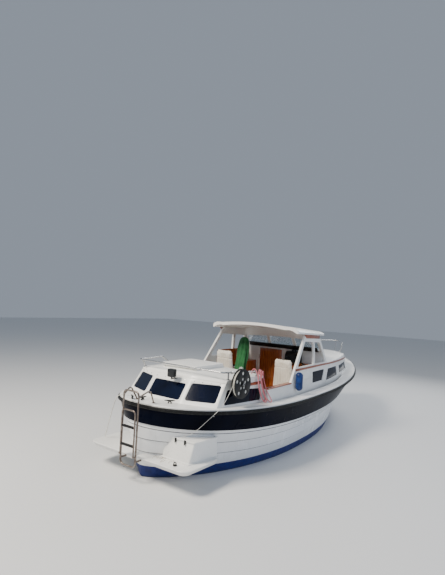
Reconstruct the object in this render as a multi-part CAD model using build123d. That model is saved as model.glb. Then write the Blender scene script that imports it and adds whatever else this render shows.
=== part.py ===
# Motor cruiser: a double-ended, lapstrake day boat with an aft cabin, an open-backed wheelhouse and a fore cabin.
# Millimetres. +X points to the bow, +Y to port, +Z up; the origin is on the centreline at the waterline amidships.
from build123d import *
from math import cos, pi, radians, sin, tan
import os

# Hull lap lines, from the sheer down to the keel. The half breadth is reached at x_mid; towards each end it
# falls as (1 - u**power)**(1 / roundness), where u runs from 0 at x_mid to 1 at that end.
LAPS = {
    # name: x_aft, x_mid, x_bow, half_breadth, aft power, aft roundness, fore power, fore roundness, z aft, mid, bow
    "sheer": (-3130, -250, 4050, 1250, 2.8, 2.35, 2.9, 1.42, 1012, 905, 1190),
    "band": (-3094, -300, 3810, 1165, 2.5, 2.25, 2.35, 1.23, 752, 586, 925),
    "upper": (-3072, -400, 3620, 1090, 2.3, 1.9, 2.05, 1.15, 545, 421, 715),
    "lower": (-3050, -430, 3460, 1055, 2.15, 1.72, 2.05, 1.13, 365, 268, 462),
    "boot": (-3024, -430, 3280, 1015, 2.1, 1.62, 2.2, 1.15, 167, 128, 190),
    "bilge": (-2990, -400, 2960, 935, 2.0, 1.45, 2.1, 1.1, 10, -150, -150),
    "garboard": (-2910, -300, 2500, 570, 1.9, 1.3, 2.0, 1.05, -75, -390, -340),
    "keel": (-2800, -300, 1950, 0, 2.0, 1.0, 2.0, 1.0, -125, -520, -470),
}
hull_wall = 28
lap_step = 12            # each strake stands proud of the one below
end_flare = 1.5          # an offset grows by this along the stem, where the sides meet at an angle
stations = 15
seam = 0.3               # bedding between pieces that meet along a curve
far = 4000               # longer than any cut needs

rail_stand = 24          # rub rail
rail_deep = 46
deck_thick = 24

keel_wide = 60
keel_bottom = -690
keel_aft = -2940

# Stern gear
shaft_tilt = 7.5         # degrees, down towards the stern
screw_x, screw_z = -2480, -440
screw_radius = 168
shaft_radius = 15
shaft_play = 0.5
stock_x = -2700
stock_radius = 16
rudder_top, rudder_low = -262, -636
heel_thick = 34
engine_size = (800, 540, 600)
engine_x, engine_low = -640, -300

# Aft cabin, plan corners (x, half breadth) from the centre facet to the fore end
cabin_low, cabin_high = 900, 1400
cabin_plan_low = ((-2662, 372), (-2530, 839), (-1400, 930))
cabin_plan_high = ((-2511, 340), (-2240, 838), (-1400, 880))
cabin_wall = 32
overrun = 400
cabin_side_z, cabin_mid_z = 1268, 1322
roof_thick = 30
roof_lip = 22

# House: the coaming, the wheelhouse and the fore cabin stand on one line
bulkhead_x = -1400
bulkhead_thick = 24
house_foot, house_foot_z = 1050, 880
house_top, house_top_z = 1000, 1130
house_wall = 36
fore_bulkhead_x = 960
fore_side_z, fore_mid_z = 1345, 1425
fore_low, fore_high = 880, 1450
fore_top_thick = 34

# Wheelhouse frame sections: z, x aft, x fore, half breadth aft, half breadth fore
frame_low = (1131, -620, 1620, 1000, 925)
frame_high = (1980, 46, 758, 932, 870)
frame_wall = 38

# Hardtop
top_aft, top_fore = -312, 960
top_half_aft, top_half_fore = 963, 905
top_edge_z, top_mid_z = 1935, 2104
top_tilt = 3.5           # degrees, nose down
top_thick = 52
top_lip = 48

# Cockpit
sole_z = 375
sole_thick = 25
liner_half = 905
liner_wall = 25
shelf_z = 1105
cap_thick = 22

glass_thick = 6
pane_play = 0.4
play = 3                 # round a door or lid

tube_radius = 12.5
rail_y = 805             # roof rail, from the centreline

# Swim platform, locker and ladder
plat_aft, plat_fore, plat_half = -3181, -2419, 930
plat_top, plat_thick = 330, 66
plat_gap = 44
ladder_x, ladder_half = -3262, 143
ladder_top, ladder_low, ladder_hinge = 1210, 205, 360
fold_half, fold_top, fold_x = 104, 950, -3290
ladder_tube = 11

reel_x, reel_y, reel_z, reel_radius = -2105, -975, 1300, 225
spindle_radius = 12

# Towing eye on the stem
eye_x, eye_z, eye_radius = 3612, 640, 9
eye_half_deep, eye_thick = 26, 12


def prism_x(points, x0, x1):
    """Prism along X from (y, z) points."""
    face = make_face(Polyline([(x0, y, z) for y, z in points], close=True))
    return extrude(face, x1 - x0, dir=(1, 0, 0))


def prism_y(points, y0, y1):
    """Prism along Y from (x, z) points."""
    face = make_face(Polyline([(x, y0, z) for x, z in points], close=True))
    return extrude(face, y1 - y0, dir=(0, 1, 0))


def prism_z(points, z0, z1):
    """Prism along Z from (x, y) points."""
    face = make_face(Polyline([(x, y, z0) for x, y in points], close=True))
    return extrude(face, z1 - z0, dir=(0, 0, 1))


def block(x0, x1, y0, y1, z0, z1):
    return Pos((x0 + x1) / 2, (y0 + y1) / 2, (z0 + z1) / 2) * Box(x1 - x0, y1 - y0, z1 - z0)


def tube(points, radius, bend):
    path = FilletPolyline(*points, radius=bend)
    return sweep(Plane(path @ 0, z_dir=path % 0) * Circle(radius), path=path)


def rod(start, end, radius):
    line = Line(start, end)
    return sweep(Plane(line @ 0, z_dir=line % 0) * Circle(radius), path=line)


def both_sides(shape):
    return [shape, mirror(shape, about=Plane.XZ)]


def crown_z(half, side_z, mid_z, y):
    """Height at y of the round top that `crown` makes."""
    rise = mid_z - side_z
    radius = (half**2 + rise**2) / (2 * rise)
    return mid_z - radius + (radius**2 - y**2) ** 0.5


def deck_z(x):
    """Height of the deck's upper face."""
    x_aft, x_mid, x_bow = LAPS["sheer"][:3]
    z_aft, z_mid, z_bow = LAPS["sheer"][-3:]
    end, z_end = (x_aft, z_aft) if x < x_mid else (x_bow, z_bow)
    return z_mid + (z_end - z_mid) * ((x - x_mid) / (end - x_mid)) ** 2 + deck_thick


def group(pieces):
    """Like pieces of one node, as separate solids."""
    solids = [s for p in pieces for s in p.solids()]
    return Compound(children=solids)


def crown(x0, x1, half, side_z, mid_z, floor):
    """Prism along X, flat below and rounded above."""
    arc = ThreePointArc((x0, -half, side_z), (x0, 0, mid_z), (x0, half, side_z))
    rest = Polyline((x0, half, side_z), (x0, half, floor), (x0, -half, floor), (x0, -half, side_z))
    return extrude(make_face([arc, rest]), x1 - x0, dir=(1, 0, 0))


def lap_points(name, side, out=0.0, rise=0.0):
    """Points of one lap line, moved out by `out` and up by `rise`, from the stern to the stem."""
    x_aft, x_mid, x_bow, breadth, p_aft, r_aft, p_bow, r_bow, z_aft, z_mid, z_bow = LAPS[name]
    points = []
    for i in range(stations):
        turn = pi / 2 * (2 * i / (stations - 1) - 1)
        u = abs(sin(turn))
        if turn < 0:
            end, z_end, power, roundness, moved = x_aft, z_aft, p_aft, r_aft, x_aft - out
        else:
            end, z_end, power, roundness, moved = x_bow, z_bow, p_bow, r_bow, x_bow + out * end_flare
        x = x_mid + (moved - x_mid) * u
        y = 0.0 if breadth == 0 else (breadth + out) * max(0.0, 1 - u**power) ** (1 / roundness)
        z = z_mid + (z_end - z_mid) * ((x - x_mid) / (end - x_mid)) ** 2 + rise
        points.append((x, side * y, z))
    return points


def lap_edge(name, side, out=0.0, rise=0.0):
    steps = [i / (stations - 1) for i in range(stations)]
    return Edge.make_spline(lap_points(name, side, out, rise), parameters=steps)


def strakes(corners, closed=True):
    """Solid whose section has the given (lap line, out, rise) corners, on both sides of the boat."""
    faces = []
    for side in (1, -1):
        edges = [lap_edge(name, side, out, rise) for name, out, rise in corners]
        pairs = zip(edges, edges[1:] + edges[:1]) if closed else zip(edges, edges[1:])
        faces += [Face.make_surface_from_curves(a, b) for a, b in pairs]
    return Solid(Shell(faces))


def across(name, out, rise):
    """Face that spans from one side's lap line to the other's."""
    return Face.make_surface_from_curves(lap_edge(name, 1, out, rise), lap_edge(name, -1, out, rise))


def hull_space(inset):
    """Solid that fills the hull up to the sheer, inside its outer skin by the inset."""
    corners = [(name, 0 if name == "keel" else -inset, inset if name == "keel" else 0) for name in LAPS]
    faces = [across("sheer", -inset, 0)]
    for side in (1, -1):
        edges = [lap_edge(name, side, out, rise) for name, out, rise in corners]
        faces += [Face.make_surface_from_curves(a, b) for a, b in zip(edges, edges[1:])]
    return Solid(Shell(faces))


def plan_inset(points, d):
    """Plan corners of one side, moved in by d, with the fore end left open by d more."""
    inset = []
    closed = [(points[0][0], -points[0][1])] + list(points)
    for i in range(1, len(closed)):
        x0, y0 = closed[i - 1]
        x1, y1 = closed[i]
        x2, y2 = closed[i + 1] if i + 1 < len(closed) else (2 * x1 - x0, 2 * y1 - y0)
        a = Vector(x1 - x0, y1 - y0).normalized()
        b = Vector(x2 - x1, y2 - y1).normalized()
        normal_a, normal_b = Vector(a.Y, -a.X), Vector(b.Y, -b.X)
        corner = (normal_a + normal_b) / (1 + normal_a.dot(normal_b)) * d
        inset.append((x1 + corner.X, y1 + corner.Y))
    return inset


def whole_plan(points, z):
    port = list(points)
    starboard = [(x, -y) for x, y in reversed(port)]
    return make_face(Polyline([(x, y, z) for x, y in port + starboard], close=True))


def cabin_body(inset):
    """Loft of the aft cabin, inset from its outer skin, running on past its fore end by the overrun."""
    sections = []
    for plan, z in ((cabin_plan_low, cabin_low), (cabin_plan_high, cabin_high)):
        points = plan_inset(plan, inset)
        (x0, y0), (x1, y1) = points[-2:]
        points[-1] = (x1 + overrun, y1 + (y1 - y0) / (x1 - x0) * overrun)
        sections.append(whole_plan(points, z))
    return loft(sections, ruled=True)


def facet_window(low0, low1, high0, high1, side_gap, low_gap, high_gap, radius, depth=70):
    """Prism for a window in the facet between two low and two high corners."""
    low0, low1, high0, high1 = [Vector(*p) for p in (low0, low1, high0, high1)]
    middle = (low0 + low1 + high0 + high1) / 4
    along = (low1 - low0).normalized()
    plane = Plane(origin=middle, x_dir=along, z_dir=along.cross((high0 + high1) - (low0 + low1)))
    corners = [plane.to_local_coords(p) for p in (low0, low1, high1, high0)]
    rise = corners[2].Y - corners[1].Y

    def at(a, b, share, gap):
        p = a + (b - a) * share
        return (p.X + gap, p.Y)

    low_share, high_share = low_gap / rise, 1 - high_gap / rise
    points = [at(corners[0], corners[3], low_share, side_gap), at(corners[1], corners[2], low_share, -side_gap),
              at(corners[1], corners[2], high_share, -side_gap), at(corners[0], corners[3], high_share, side_gap)]
    face = make_face(Polyline(points, close=True))
    face = fillet(face.vertices(), radius)
    return extrude(plane * face, depth, both=True)


def cabin_windows(shrink=0.0):
    """Prisms of the aft cabin's windows: the centre facet, both corner facets and two on each side."""
    low = [(x, y, cabin_low) for x, y in cabin_plan_low]
    high = [(x, y, cabin_high) for x, y in cabin_plan_high]

    def port_to_starboard(p):
        return (p[0], -p[1], p[2])

    low_gap, high_gap, radius = 175 + shrink, 155 + shrink, 34
    windows = [facet_window(low[0], port_to_starboard(low[0]), high[0], port_to_starboard(high[0]),
                            62 + shrink, low_gap, high_gap, radius)]
    corner = facet_window(low[1], low[0], high[1], high[0], 58 + shrink, low_gap, high_gap, radius)
    windows += both_sides(corner)
    long = prism_y([(-2215 + shrink, 1040 + shrink), (-1500 - shrink, 1040 + shrink),
                    (-1500 - shrink, 1205 - shrink), (-2150 + shrink, 1205 - shrink)], -1100, 1100)
    windows.append(fillet(long.edges().filter_by(Axis.Y), radius))
    return windows


def fore_plan(inset, z, points, aft):
    """Plan of the fore cabin: a straight aft end, long side arcs and a rounded front."""
    (x0, y0), (x1, y1), (x2, y2), (x3, y3), (x4, _) = points
    y0, y1, y2, y3, x4 = y0 - inset, y1 - inset, y2 - inset, y3 - inset, x4 - inset
    x2, x3 = x2 - inset / 2, x3 - inset
    port = ThreePointArc((x0, y0, z), (x1, y1, z), (x2, y2, z))
    starboard = ThreePointArc((x2, -y2, z), (x1, -y1, z), (x0, -y0, z))
    nose_port = ThreePointArc((x2, y2, z), (x3, y3, z), (x4, 0, z))
    nose_starboard = ThreePointArc((x4, 0, z), (x3, -y3, z), (x2, -y2, z))
    rest = Polyline((x0, -y0, z), (x0 - aft, -y0, z), (x0 - aft, y0, z), (x0, y0, z))
    return make_face([port, nose_port, nose_starboard, starboard, rest])


fore_plan_low = ((fore_bulkhead_x, 1048), (1950, 925), (2820, 600), (3090, 360), (3170, 0))
fore_plan_high = ((fore_bulkhead_x, 978), (1890, 850), (2690, 540), (2950, 320), (3030, 0))


def fore_body(inset, aft=0.01):
    """Loft of the fore cabin, inset from its outer skin and lengthened aft."""
    sections = ((fore_plan_low, fore_low), (fore_plan_high, fore_high))
    return loft([fore_plan(inset, z, plan, aft) for plan, z in sections], ruled=True)


def fore_windows(shrink=0.0):
    """Prisms of the fore cabin's side windows, three a side."""
    pieces = []
    for x_low0, x_low1, x_high0, x_high1, z_low, z_high in fore_window_table:
        face = [(x_low0 + shrink, z_low + shrink), (x_low1 - shrink, z_low + shrink),
                (x_high1 - shrink, z_high - shrink), (x_high0 + shrink, z_high - shrink)]
        pane = prism_y(face, -1200, 1200)
        pieces.append(fillet(pane.edges().filter_by(Axis.Y), 26))
    return pieces


fore_window_table = (
    # x low aft, x low fore, x high aft, x high fore, z low, z high
    (1120, 1560, 1120, 1560, 1035, 1225),
    (1650, 2080, 1650, 2080, 1050, 1235),
    (2170, 2560, 2170, 2500, 1070, 1240),
)


def frame_section(row, inset, aft_out=0.0):
    z, x_aft, x_fore, half_aft, half_fore = row
    slope = (half_fore - half_aft) / (x_fore - x_aft)
    aft_move = inset - aft_out
    aft_corner = (x_aft + aft_move, half_aft + slope * aft_move - inset)
    return whole_plan([aft_corner, (x_fore - inset, half_fore - slope * inset - inset)], z)


def frame_body(inset, aft_out=0.0):
    return loft([frame_section(row, inset, aft_out) for row in (frame_low, frame_high)], ruled=True)


def side_windows(shrink=0.0):
    """Prisms of the wheelhouse's side windows, two a side."""
    s = shrink
    aft = [(-430 + 1.4 * s, 1250 + s), (385 - s, 1250 + s), (385 - s, 1790 - s), (-6 + 0.6 * s, 1815 - s)]
    fore = [(445 + s, 1250 + s), (930 - s, 1250 + s), (1190 - 1.2 * s, 1440 + s / 2), (905 - s, 1756 - s), (445 + s, 1786 - s)]
    pieces = []
    for outline in (aft, fore):
        pane = prism_y(outline, -1200, 1200)
        pieces.append(fillet(pane.edges().filter_by(Axis.Y), 22))
    return pieces


def screen_windows(shrink=0.0):
    """Prisms of the windscreen's three panes."""
    s = shrink
    middle = [(-270 + s, 1482 + s), (270 - s, 1482 + s), (262 - s, 1800 - s), (-262 + s, 1800 - s)]
    outer = [(330 + s, 1478 + s), (852 - s, 1450 + s), (820 - s, 1775 - s), (322 + s, 1798 - s)]
    pieces = [prism_x(middle, 820, 1700)]
    pieces += both_sides(prism_x(outer, 820, 1700))
    return [fillet(p.edges().filter_by(Axis.X), 24) for p in pieces]


def hardtop_profile(x, drop, half):
    """Section of the hardtop's upper or lower skin: a flat crown with round shoulders, closed by a line."""
    edge, mid = top_edge_z - drop, top_mid_z - drop
    shoulder = half - 230
    shoulder_z = mid - 44
    knee = (half - 62, edge + 0.70 * (shoulder_z - edge))
    points = [(half, edge), knee, (shoulder, shoulder_z)]
    port = ThreePointArc(*[(x, y, z) for y, z in points])
    starboard = ThreePointArc(*[(x, -y, z) for y, z in reversed(points)])
    return [port, ThreePointArc((x, shoulder, shoulder_z), (x, 0, mid), (x, -shoulder, shoulder_z)), starboard]


def hardtop_volume(drop, half, floor, x0, x1):
    edge = top_edge_z - drop
    rest = Polyline((x0, -half, edge), (x0, -half, floor), (x0, half, floor), (x0, half, edge))
    solid = extrude(make_face(hardtop_profile(x0, drop, half) + [rest]), x1 - x0, dir=(1, 0, 0))
    return tilted(solid)


def tilted(shape):
    """Turn about the hardtop's aft edge by its nose-down tilt."""
    return Pos(top_aft, 0, top_edge_z) * Rot(0, top_tilt, 0) * Pos(-top_aft, 0, -top_edge_z) * shape


def make_hull():
    w = hull_wall
    nodes["sheer_strake"] = strakes([("sheer", 0, 0), ("band", 0, 0), ("band", -w, 0), ("sheer", -w, 0)])
    nodes["hull_topsides"] = strakes([
        ("band", -lap_step, -seam), ("upper", 0, 0), ("upper", -lap_step, 0), ("lower", 0, 0),
        ("lower", -lap_step, 0), ("boot", 0, 0), ("boot", -w, 0), ("lower", -w, 0), ("upper", -w, 0),
        ("band", -w, -seam)])
    nodes["hull_bottom"] = make_bottom()
    stand, deep = rail_stand, rail_deep
    nodes["rub_rail"] = strakes([
        ("sheer", seam, 2), ("sheer", stand - 8, 2), ("sheer", stand, -8), ("sheer", stand, 8 - deep),
        ("sheer", stand - 8, -deep), ("sheer", seam, -deep)])


def make_bottom():
    """Bottom shell with its long keel, the heel under the screw, the engine bearers and the stern tube."""
    w = hull_wall
    shell = strakes([
        ("keel", 0, w), ("garboard", -w, 0), ("bilge", -w, 0), ("boot", -w, -seam), ("boot", 0, -seam),
        ("bilge", 0, 0), ("garboard", 0, 0), ("keel", 0, 0)], closed=False)
    aperture = screw_x + 120
    heel = keel_bottom + heel_thick
    keel = prism_y([(2050, -430), (1700, keel_bottom + 90), (1350, keel_bottom), (keel_aft, keel_bottom),
                    (keel_aft, heel), (aperture - 30, heel), (aperture, heel + 30), (aperture, -320), (-2250, -335),
                    (-1200, -440), (0, -500), (1500, -470)], -keel_wide / 2, keel_wide / 2)
    bottom = shell + keel
    for bearer in both_sides(block(engine_x - 420, engine_x + 420, 250, 310, -600, engine_low - seam)):
        bottom += bearer & hull_space(w - 2)
    bottom -= shaft_line(shaft_radius + shaft_play, -900, 1700)
    bottom -= Pos(stock_x, 0, 0) * Cylinder(stock_radius + shaft_play, 700)
    bottom -= Pos(stock_x, 0, keel_bottom) * Cylinder(stock_radius + shaft_play, 200)
    return bottom


def shaft_line(radius, start, end):
    """Cylinder on the screw's axis, from start to end along it, measured from the screw."""
    cylinder = Cylinder(radius, end - start, align=(Align.CENTER, Align.CENTER, Align.MIN))
    return Pos(screw_x, 0, screw_z) * Rot(0, 90 - shaft_tilt, 0) * Pos(0, 0, start) * cylinder


def make_deck():
    edges = [(-1, seam), (-1, deck_thick - 8), (-9, deck_thick)]
    faces = [across("sheer", *edges[0]), across("sheer", *edges[-1])]
    for side in (1, -1):
        lines = [lap_edge("sheer", side, out, rise) for out, rise in edges]
        faces += [Face.make_surface_from_curves(a, b) for a, b in zip(lines, lines[1:])]
    deck = Solid(Shell(faces))
    deck -= cabin_body(-seam)
    half = house_foot + seam
    deck -= block(bulkhead_x - 1, fore_bulkhead_x + 1, -half, half, 0, far)
    deck -= fore_body(-seam - 1, 2)
    nodes["deck"] = deck


def make_aft_cabin():
    under = crown(-2800, -1300, 1000, cabin_side_z - 24, cabin_mid_z, 800)
    under &= block(-2800, bulkhead_x, -1100, 1100, 800, 1400)
    walls = (cabin_body(0) - cabin_body(cabin_wall)) & under
    for window in cabin_windows():
        walls -= window
    nodes["aft_cabin"] = walls
    panes = []
    skin = (cabin_body(12) - cabin_body(12 + glass_thick)) & under
    for window in cabin_windows(pane_play):
        panes.append(skin & window)
    nodes["aft_cabin_glass"] = group(panes)
    plan = prism_z([(x, y) for x, y in whole_roof_plan()], 1200, 1500)
    shell = crown(-2800, -1300, 1000, cabin_side_z - 24 + roof_thick, cabin_mid_z + roof_thick, 900)
    roof = (plan & shell) - crown(-2800, -1300, 1001, cabin_side_z - 24 + seam, cabin_mid_z + seam, 800)
    roof -= block(hatch_aft + 60, -1300, hatch_right + 30, hatch_left - 30, 1200, 1500)
    rim = block(hatch_aft + 36, bulkhead_x + 20, hatch_right + 12, hatch_left - 12, 1300, hatch_low)
    rim -= block(hatch_aft + 60, -1300, hatch_right + 30, hatch_left - 30, 1200, 1500)
    rim -= crown(-2800, -1300, 1000, cabin_side_z - 24 + roof_thick - 4, cabin_mid_z + roof_thick - 4, 900)
    roof += rim
    nodes["aft_cabin_roof"] = roof
    slab = block(hatch_aft, bulkhead_x + 10, hatch_right, hatch_left, hatch_low + seam, hatch_low + 34)
    nodes["aft_hatch"] = fillet(slab.edges().filter_by(Axis.Z), 40)


hatch_aft, hatch_right, hatch_left, hatch_low = -2120, -150, 570, 1368


def whole_roof_plan():
    share = (1320 - cabin_low) / (cabin_high - cabin_low)
    points = []
    for (x0, y0), (x1, y1) in zip(cabin_plan_low, cabin_plan_high):
        points.append((x0 + (x1 - x0) * share, y0 + (y1 - y0) * share))
    points = plan_inset(points, -roof_lip)
    points[-1] = (bulkhead_x + 25, points[-1][1])
    return points + [(x, -y) for x, y in reversed(points)]


def make_house():
    w = house_wall
    section = [(house_foot, house_foot_z), (house_top, house_top_z), (house_top - w, house_top_z),
               (house_foot - w, house_foot_z)]
    x_return = bulkhead_x + w
    sides = []
    for solid in both_sides(prism_x(section, bulkhead_x + seam, fore_bulkhead_x - seam)):
        sides.append(solid)
    returned = prism_x([(house_foot - 10, house_foot_z), (house_top - 10, house_top_z), (892, house_top_z),
                        (922, house_foot_z)], bulkhead_x + seam, x_return)
    sides = [sides[0] + returned, sides[1] + mirror(returned, about=Plane.XZ)]
    nodes["coaming"] = group(sides)
    cap = block(bulkhead_x + 10, frame_low[1] - 2, house_top - w - 34, house_top + 16, house_top_z + seam, house_top_z + cap_thick)
    cap = fillet(cap.edges().filter_by(Axis.X), 6)
    nodes["coaming_caps"] = group(both_sides(cap))
    make_fore_cabin()


def make_fore_cabin():
    x0, x1 = 700, 3400
    outer = fore_body(0) & crown(x0, x1, 1100, fore_side_z - 26, fore_mid_z, 800)
    inner = fore_body(house_wall, 60) & crown(x0, x1, 1100, fore_side_z - 26 - fore_top_thick, fore_mid_z - fore_top_thick, 700)
    cabin = outer - inner
    for window in fore_windows():
        cabin -= window
    cabin -= block(fore_hatch_x - 230, fore_hatch_x + 230, -230, 230, 1300, 1600)
    rim = block(fore_hatch_x - 255, fore_hatch_x + 255, -255, 255, 1350, fore_hatch_low)
    rim -= block(fore_hatch_x - 230, fore_hatch_x + 230, -230, 230, 1300, 1600)
    cabin += rim
    nodes["fore_cabin"] = cabin
    skin = (fore_body(14) - fore_body(14 + glass_thick, 60))
    nodes["fore_cabin_glass"] = group([skin & window for window in fore_windows(pane_play)])
    lid = block(fore_hatch_x - 262, fore_hatch_x + 262, -262, 262, fore_hatch_low + seam, fore_hatch_low + 40)
    lid = fillet(lid.edges().filter_by(Axis.Z), 40)
    nodes["fore_hatch"] = lid
    make_handrails()


fore_hatch_x, fore_hatch_low = 2080, 1440


def make_handrails():
    """Wooden rails along the edges of the fore cabin's top, with hand gaps between their feet."""
    layer = crown(1750, 2900, 1100, fore_side_z - 26 + 46, fore_mid_z + 46, 800)
    layer -= crown(1740, 2910, 1100, fore_side_z - 26 + seam, fore_mid_z + seam, 700)
    rails = (fore_body(34) - fore_body(62, 60)) & layer
    gaps = crown(1700, 2950, 1100, fore_side_z - 26 + 24, fore_mid_z + 24, 700)
    for x in (1800, 2030, 2260, 2490):
        rails -= gaps & block(x + 30, x + 200, -1100, 1100, 1200, 1600)
    rails -= block(2690, 3400, -1100, 1100, 1200, 1600)
    nodes["handrails"] = rails


def make_wheelhouse():
    lining = top_half_aft - top_lip
    under = hardtop_volume(top_thick + seam, lining - seam, 900, -900, 2000)
    under += tilted(block(-900, 2000, -1100, 1100, 900, top_edge_z - top_thick - seam))
    cabin = fore_body(-seam, seam) & crown(700, 3400, 1100, fore_side_z - 26 + seam, fore_mid_z + seam, 500)
    frame = frame_body(0) - frame_body(frame_wall, 300)
    for window in side_windows() + screen_windows():
        frame -= window
    frame &= under
    frame -= cabin
    nodes["wheelhouse_frame"] = frame
    skin = frame_body(15) - frame_body(15 + glass_thick, 300)
    panes = [(skin & window) - cabin for window in side_windows(pane_play) + screen_windows(pane_play)]
    nodes["wheelhouse_glass"] = group(panes)
    outer = hardtop_volume(0, top_half_aft, 900, top_aft, top_fore)
    inner = hardtop_volume(top_thick, lining, 800, top_aft - 100, top_fore + 100)
    plan = prism_z([(top_aft - 60, top_half_aft + 10), (top_aft - 60, -top_half_aft - 10), (top_fore + 60, -top_half_fore),
                    (top_fore + 60, top_half_fore)], 1000, 2500)
    floor = tilted(block(-900, 2000, -1100, 1100, 500, top_edge_z - top_thick))
    top = ((outer & plan) - inner) - floor
    nodes["hardtop"] = top


def make_interior():
    hull = hull_space(hull_wall + seam)
    aft = bulkhead_x - bulkhead_thick
    inside = cabin_body(cabin_wall + seam) & crown(-2800, -1300, 1000, cabin_side_z - 24 - seam, cabin_mid_z - seam, 700)
    plate = block(aft, bulkhead_x, -1200, 1200, aft_bulkhead_low, 1000) & hull
    plate -= cabin_body(-seam) - cabin_body(cabin_wall + seam)
    plate -= block(aft - 1, bulkhead_x + 1, -1200, 1200, 905, 1000)
    plate += block(aft, bulkhead_x, -1200, 1200, 901, 1400) & inside
    plate -= block(aft - 10, bulkhead_x + 10, door_right, door_left, sole_z + 30, 1500)
    nodes["aft_bulkhead"] = plate
    door = block(aft, bulkhead_x, door_right + play, door_left - play, sole_z + 30 + play, 1300)
    for z0, z1 in ((450, 800), (860, 1240)):
        door -= block(bulkhead_x - 6, bulkhead_x, door_right + 70, door_left - 70, z0, z1)
    nodes["aft_door"] = door
    sole = block(bulkhead_x + seam, fore_bulkhead_x - bulkhead_thick - 2 * seam, -liner_half, liner_half, sole_z - sole_thick, sole_z)
    nodes["cockpit_sole"] = sole
    x0, x1 = bulkhead_x + house_wall + seam, fore_bulkhead_x - bulkhead_thick - 2 * seam
    wall = block(x0, x1, liner_half - liner_wall, liner_half, sole_z, shelf_z)
    wall += block(x0, x1, liner_half - liner_wall, 968, shelf_z - 20, shelf_z)
    nodes["cockpit_liner"] = group(both_sides(wall))
    fore = fore_bulkhead_x - bulkhead_thick - seam
    lower = block(fore, fore + bulkhead_thick, -1200, 1200, -450, 880) & hull
    half = house_foot - house_wall - 12
    port = [(half, 880), (house_top - house_wall - 6, house_top_z - 1), (905, house_top_z - 1), (892, 1290)]
    upper = prism_x(port + [(-y, z) for y, z in reversed(port)], fore, fore + bulkhead_thick)
    upper += block(fore, fore + bulkhead_thick, -885, 885, 1280, 1420) & crown(700, 1200, 1100, fore_side_z - 62, fore_mid_z - 36, 800)
    plate = lower + upper
    plate -= block(fore - 10, fore_bulkhead_x, fore_door_right, fore_door_left, sole_z + 30, 1340)
    nodes["fore_bulkhead"] = plate
    door = block(fore, fore + bulkhead_thick, fore_door_right + play, fore_door_left - play, sole_z + 30 + play, 1340 - play)
    for z0, z1 in ((450, 820), (880, 1270)):
        door -= block(fore, fore + 6, fore_door_right + 70, fore_door_left - 70, z0, z1)
    nodes["fore_door"] = door
    berths = block(-2560, aft - seam, -900, 900, 480, 500) & hull
    berths += block(fore_bulkhead_x, 2900, -900, 900, 520, 540) & hull
    nodes["berths"] = group([berths])


aft_bulkhead_low = -150
door_right, door_left = -60, 480
fore_door_right, fore_door_left = 20, 560


def make_cockpit():
    seats = {"helm": (60, -530), "mate": (-330, 548)}
    bases = []
    for name, (x, y) in seats.items():
        base = block(x - 100, x + 430, y - 215, y + 215, sole_z, 850)
        bases.append(fillet(base.edges().filter_by(Axis.Z), 40))
        pan = block(x + 20, x + 460, y - 225, y + 225, 850 + seam, 950)
        back = prism_y([(x + 14, 850 + seam), (x - 98, 850 + seam), (x - 150, 1420), (x - 60, 1420)], y - 225, y + 225)
        nodes[f"{name}_seat"] = group([pan, back])
    nodes["seat_bases"] = group(bases)
    console = prism_y([(700, sole_z), (700, 1080), (640, 1120), (660, 1230), (800, 1300), (935, 1300), (935, sole_z)], -870, -180)
    boss = Pos(0, 0, -wheel_stub - seam) * Cylinder(26, 60, align=(Align.CENTER, Align.CENTER, Align.MAX))
    nodes["console"] = console + Pos(*wheel_centre) * Rot(0, -wheel_tilt, 0) * boss
    locker = block(560, 935, 640, 870, sole_z, 1240)
    nodes["port_locker"] = fillet(locker.edges().filter_by(Axis.Z), 12)
    wheel = Pos(*wheel_centre) * Rot(0, -wheel_tilt, 0) * steering_wheel()
    nodes["steering_wheel"] = wheel


wheel_centre = (572, -530, 1190)
wheel_tilt = 62
wheel_stub = 66


def steering_wheel():
    """Rim, hub and three spokes on the Z axis, with the column's stub below."""
    rim = Torus(170, 12)
    hub = Cylinder(34, 26) + Cylinder(14, wheel_stub, align=(Align.CENTER, Align.CENTER, Align.MAX))
    for turn in (90, 210, 330):
        hub += Rot(0, 0, turn) * Pos(95, 0, 0) * Box(150, 22, 8)
    return rim + hub


def make_stern_gear():
    nodes["engine"] = block(engine_x - 400, engine_x + 400, -engine_size[1] / 2, engine_size[1] / 2, engine_low, engine_low + engine_size[2])
    hub = shaft_line(32, -50, 40)
    screw = hub + shaft_line(shaft_radius, -70, 1449)
    axis = Plane(origin=(screw_x, 0, screw_z), z_dir=(cos(radians(shaft_tilt)), 0, sin(radians(shaft_tilt))), x_dir=(0, 1, 0))
    blade = Pos(100, 0, 0) * Rot(28, 0, 0) * (Pos(0, 0, 0) * extrude(make_face(Ellipse(70, 52).edge()), 5, both=True))
    for turn in (0, 120, 240):
        screw += axis * (Rot(0, 0, turn) * blade)
    nodes["propeller"] = screw
    blade = prism_y([(stock_x + 45, rudder_top), (stock_x - 225, rudder_top + 20), (stock_x - 235, rudder_low + 40),
                     (stock_x - 200, rudder_low), (stock_x + 45, rudder_low)], -9, 9)
    stock = Pos(stock_x, 0, 0) * Cylinder(stock_radius, 300 - keel_bottom - 6, align=(Align.CENTER, Align.CENTER, Align.MIN))
    stock = Pos(0, 0, keel_bottom + 6) * stock
    nodes["rudder"] = blade + stock


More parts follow.
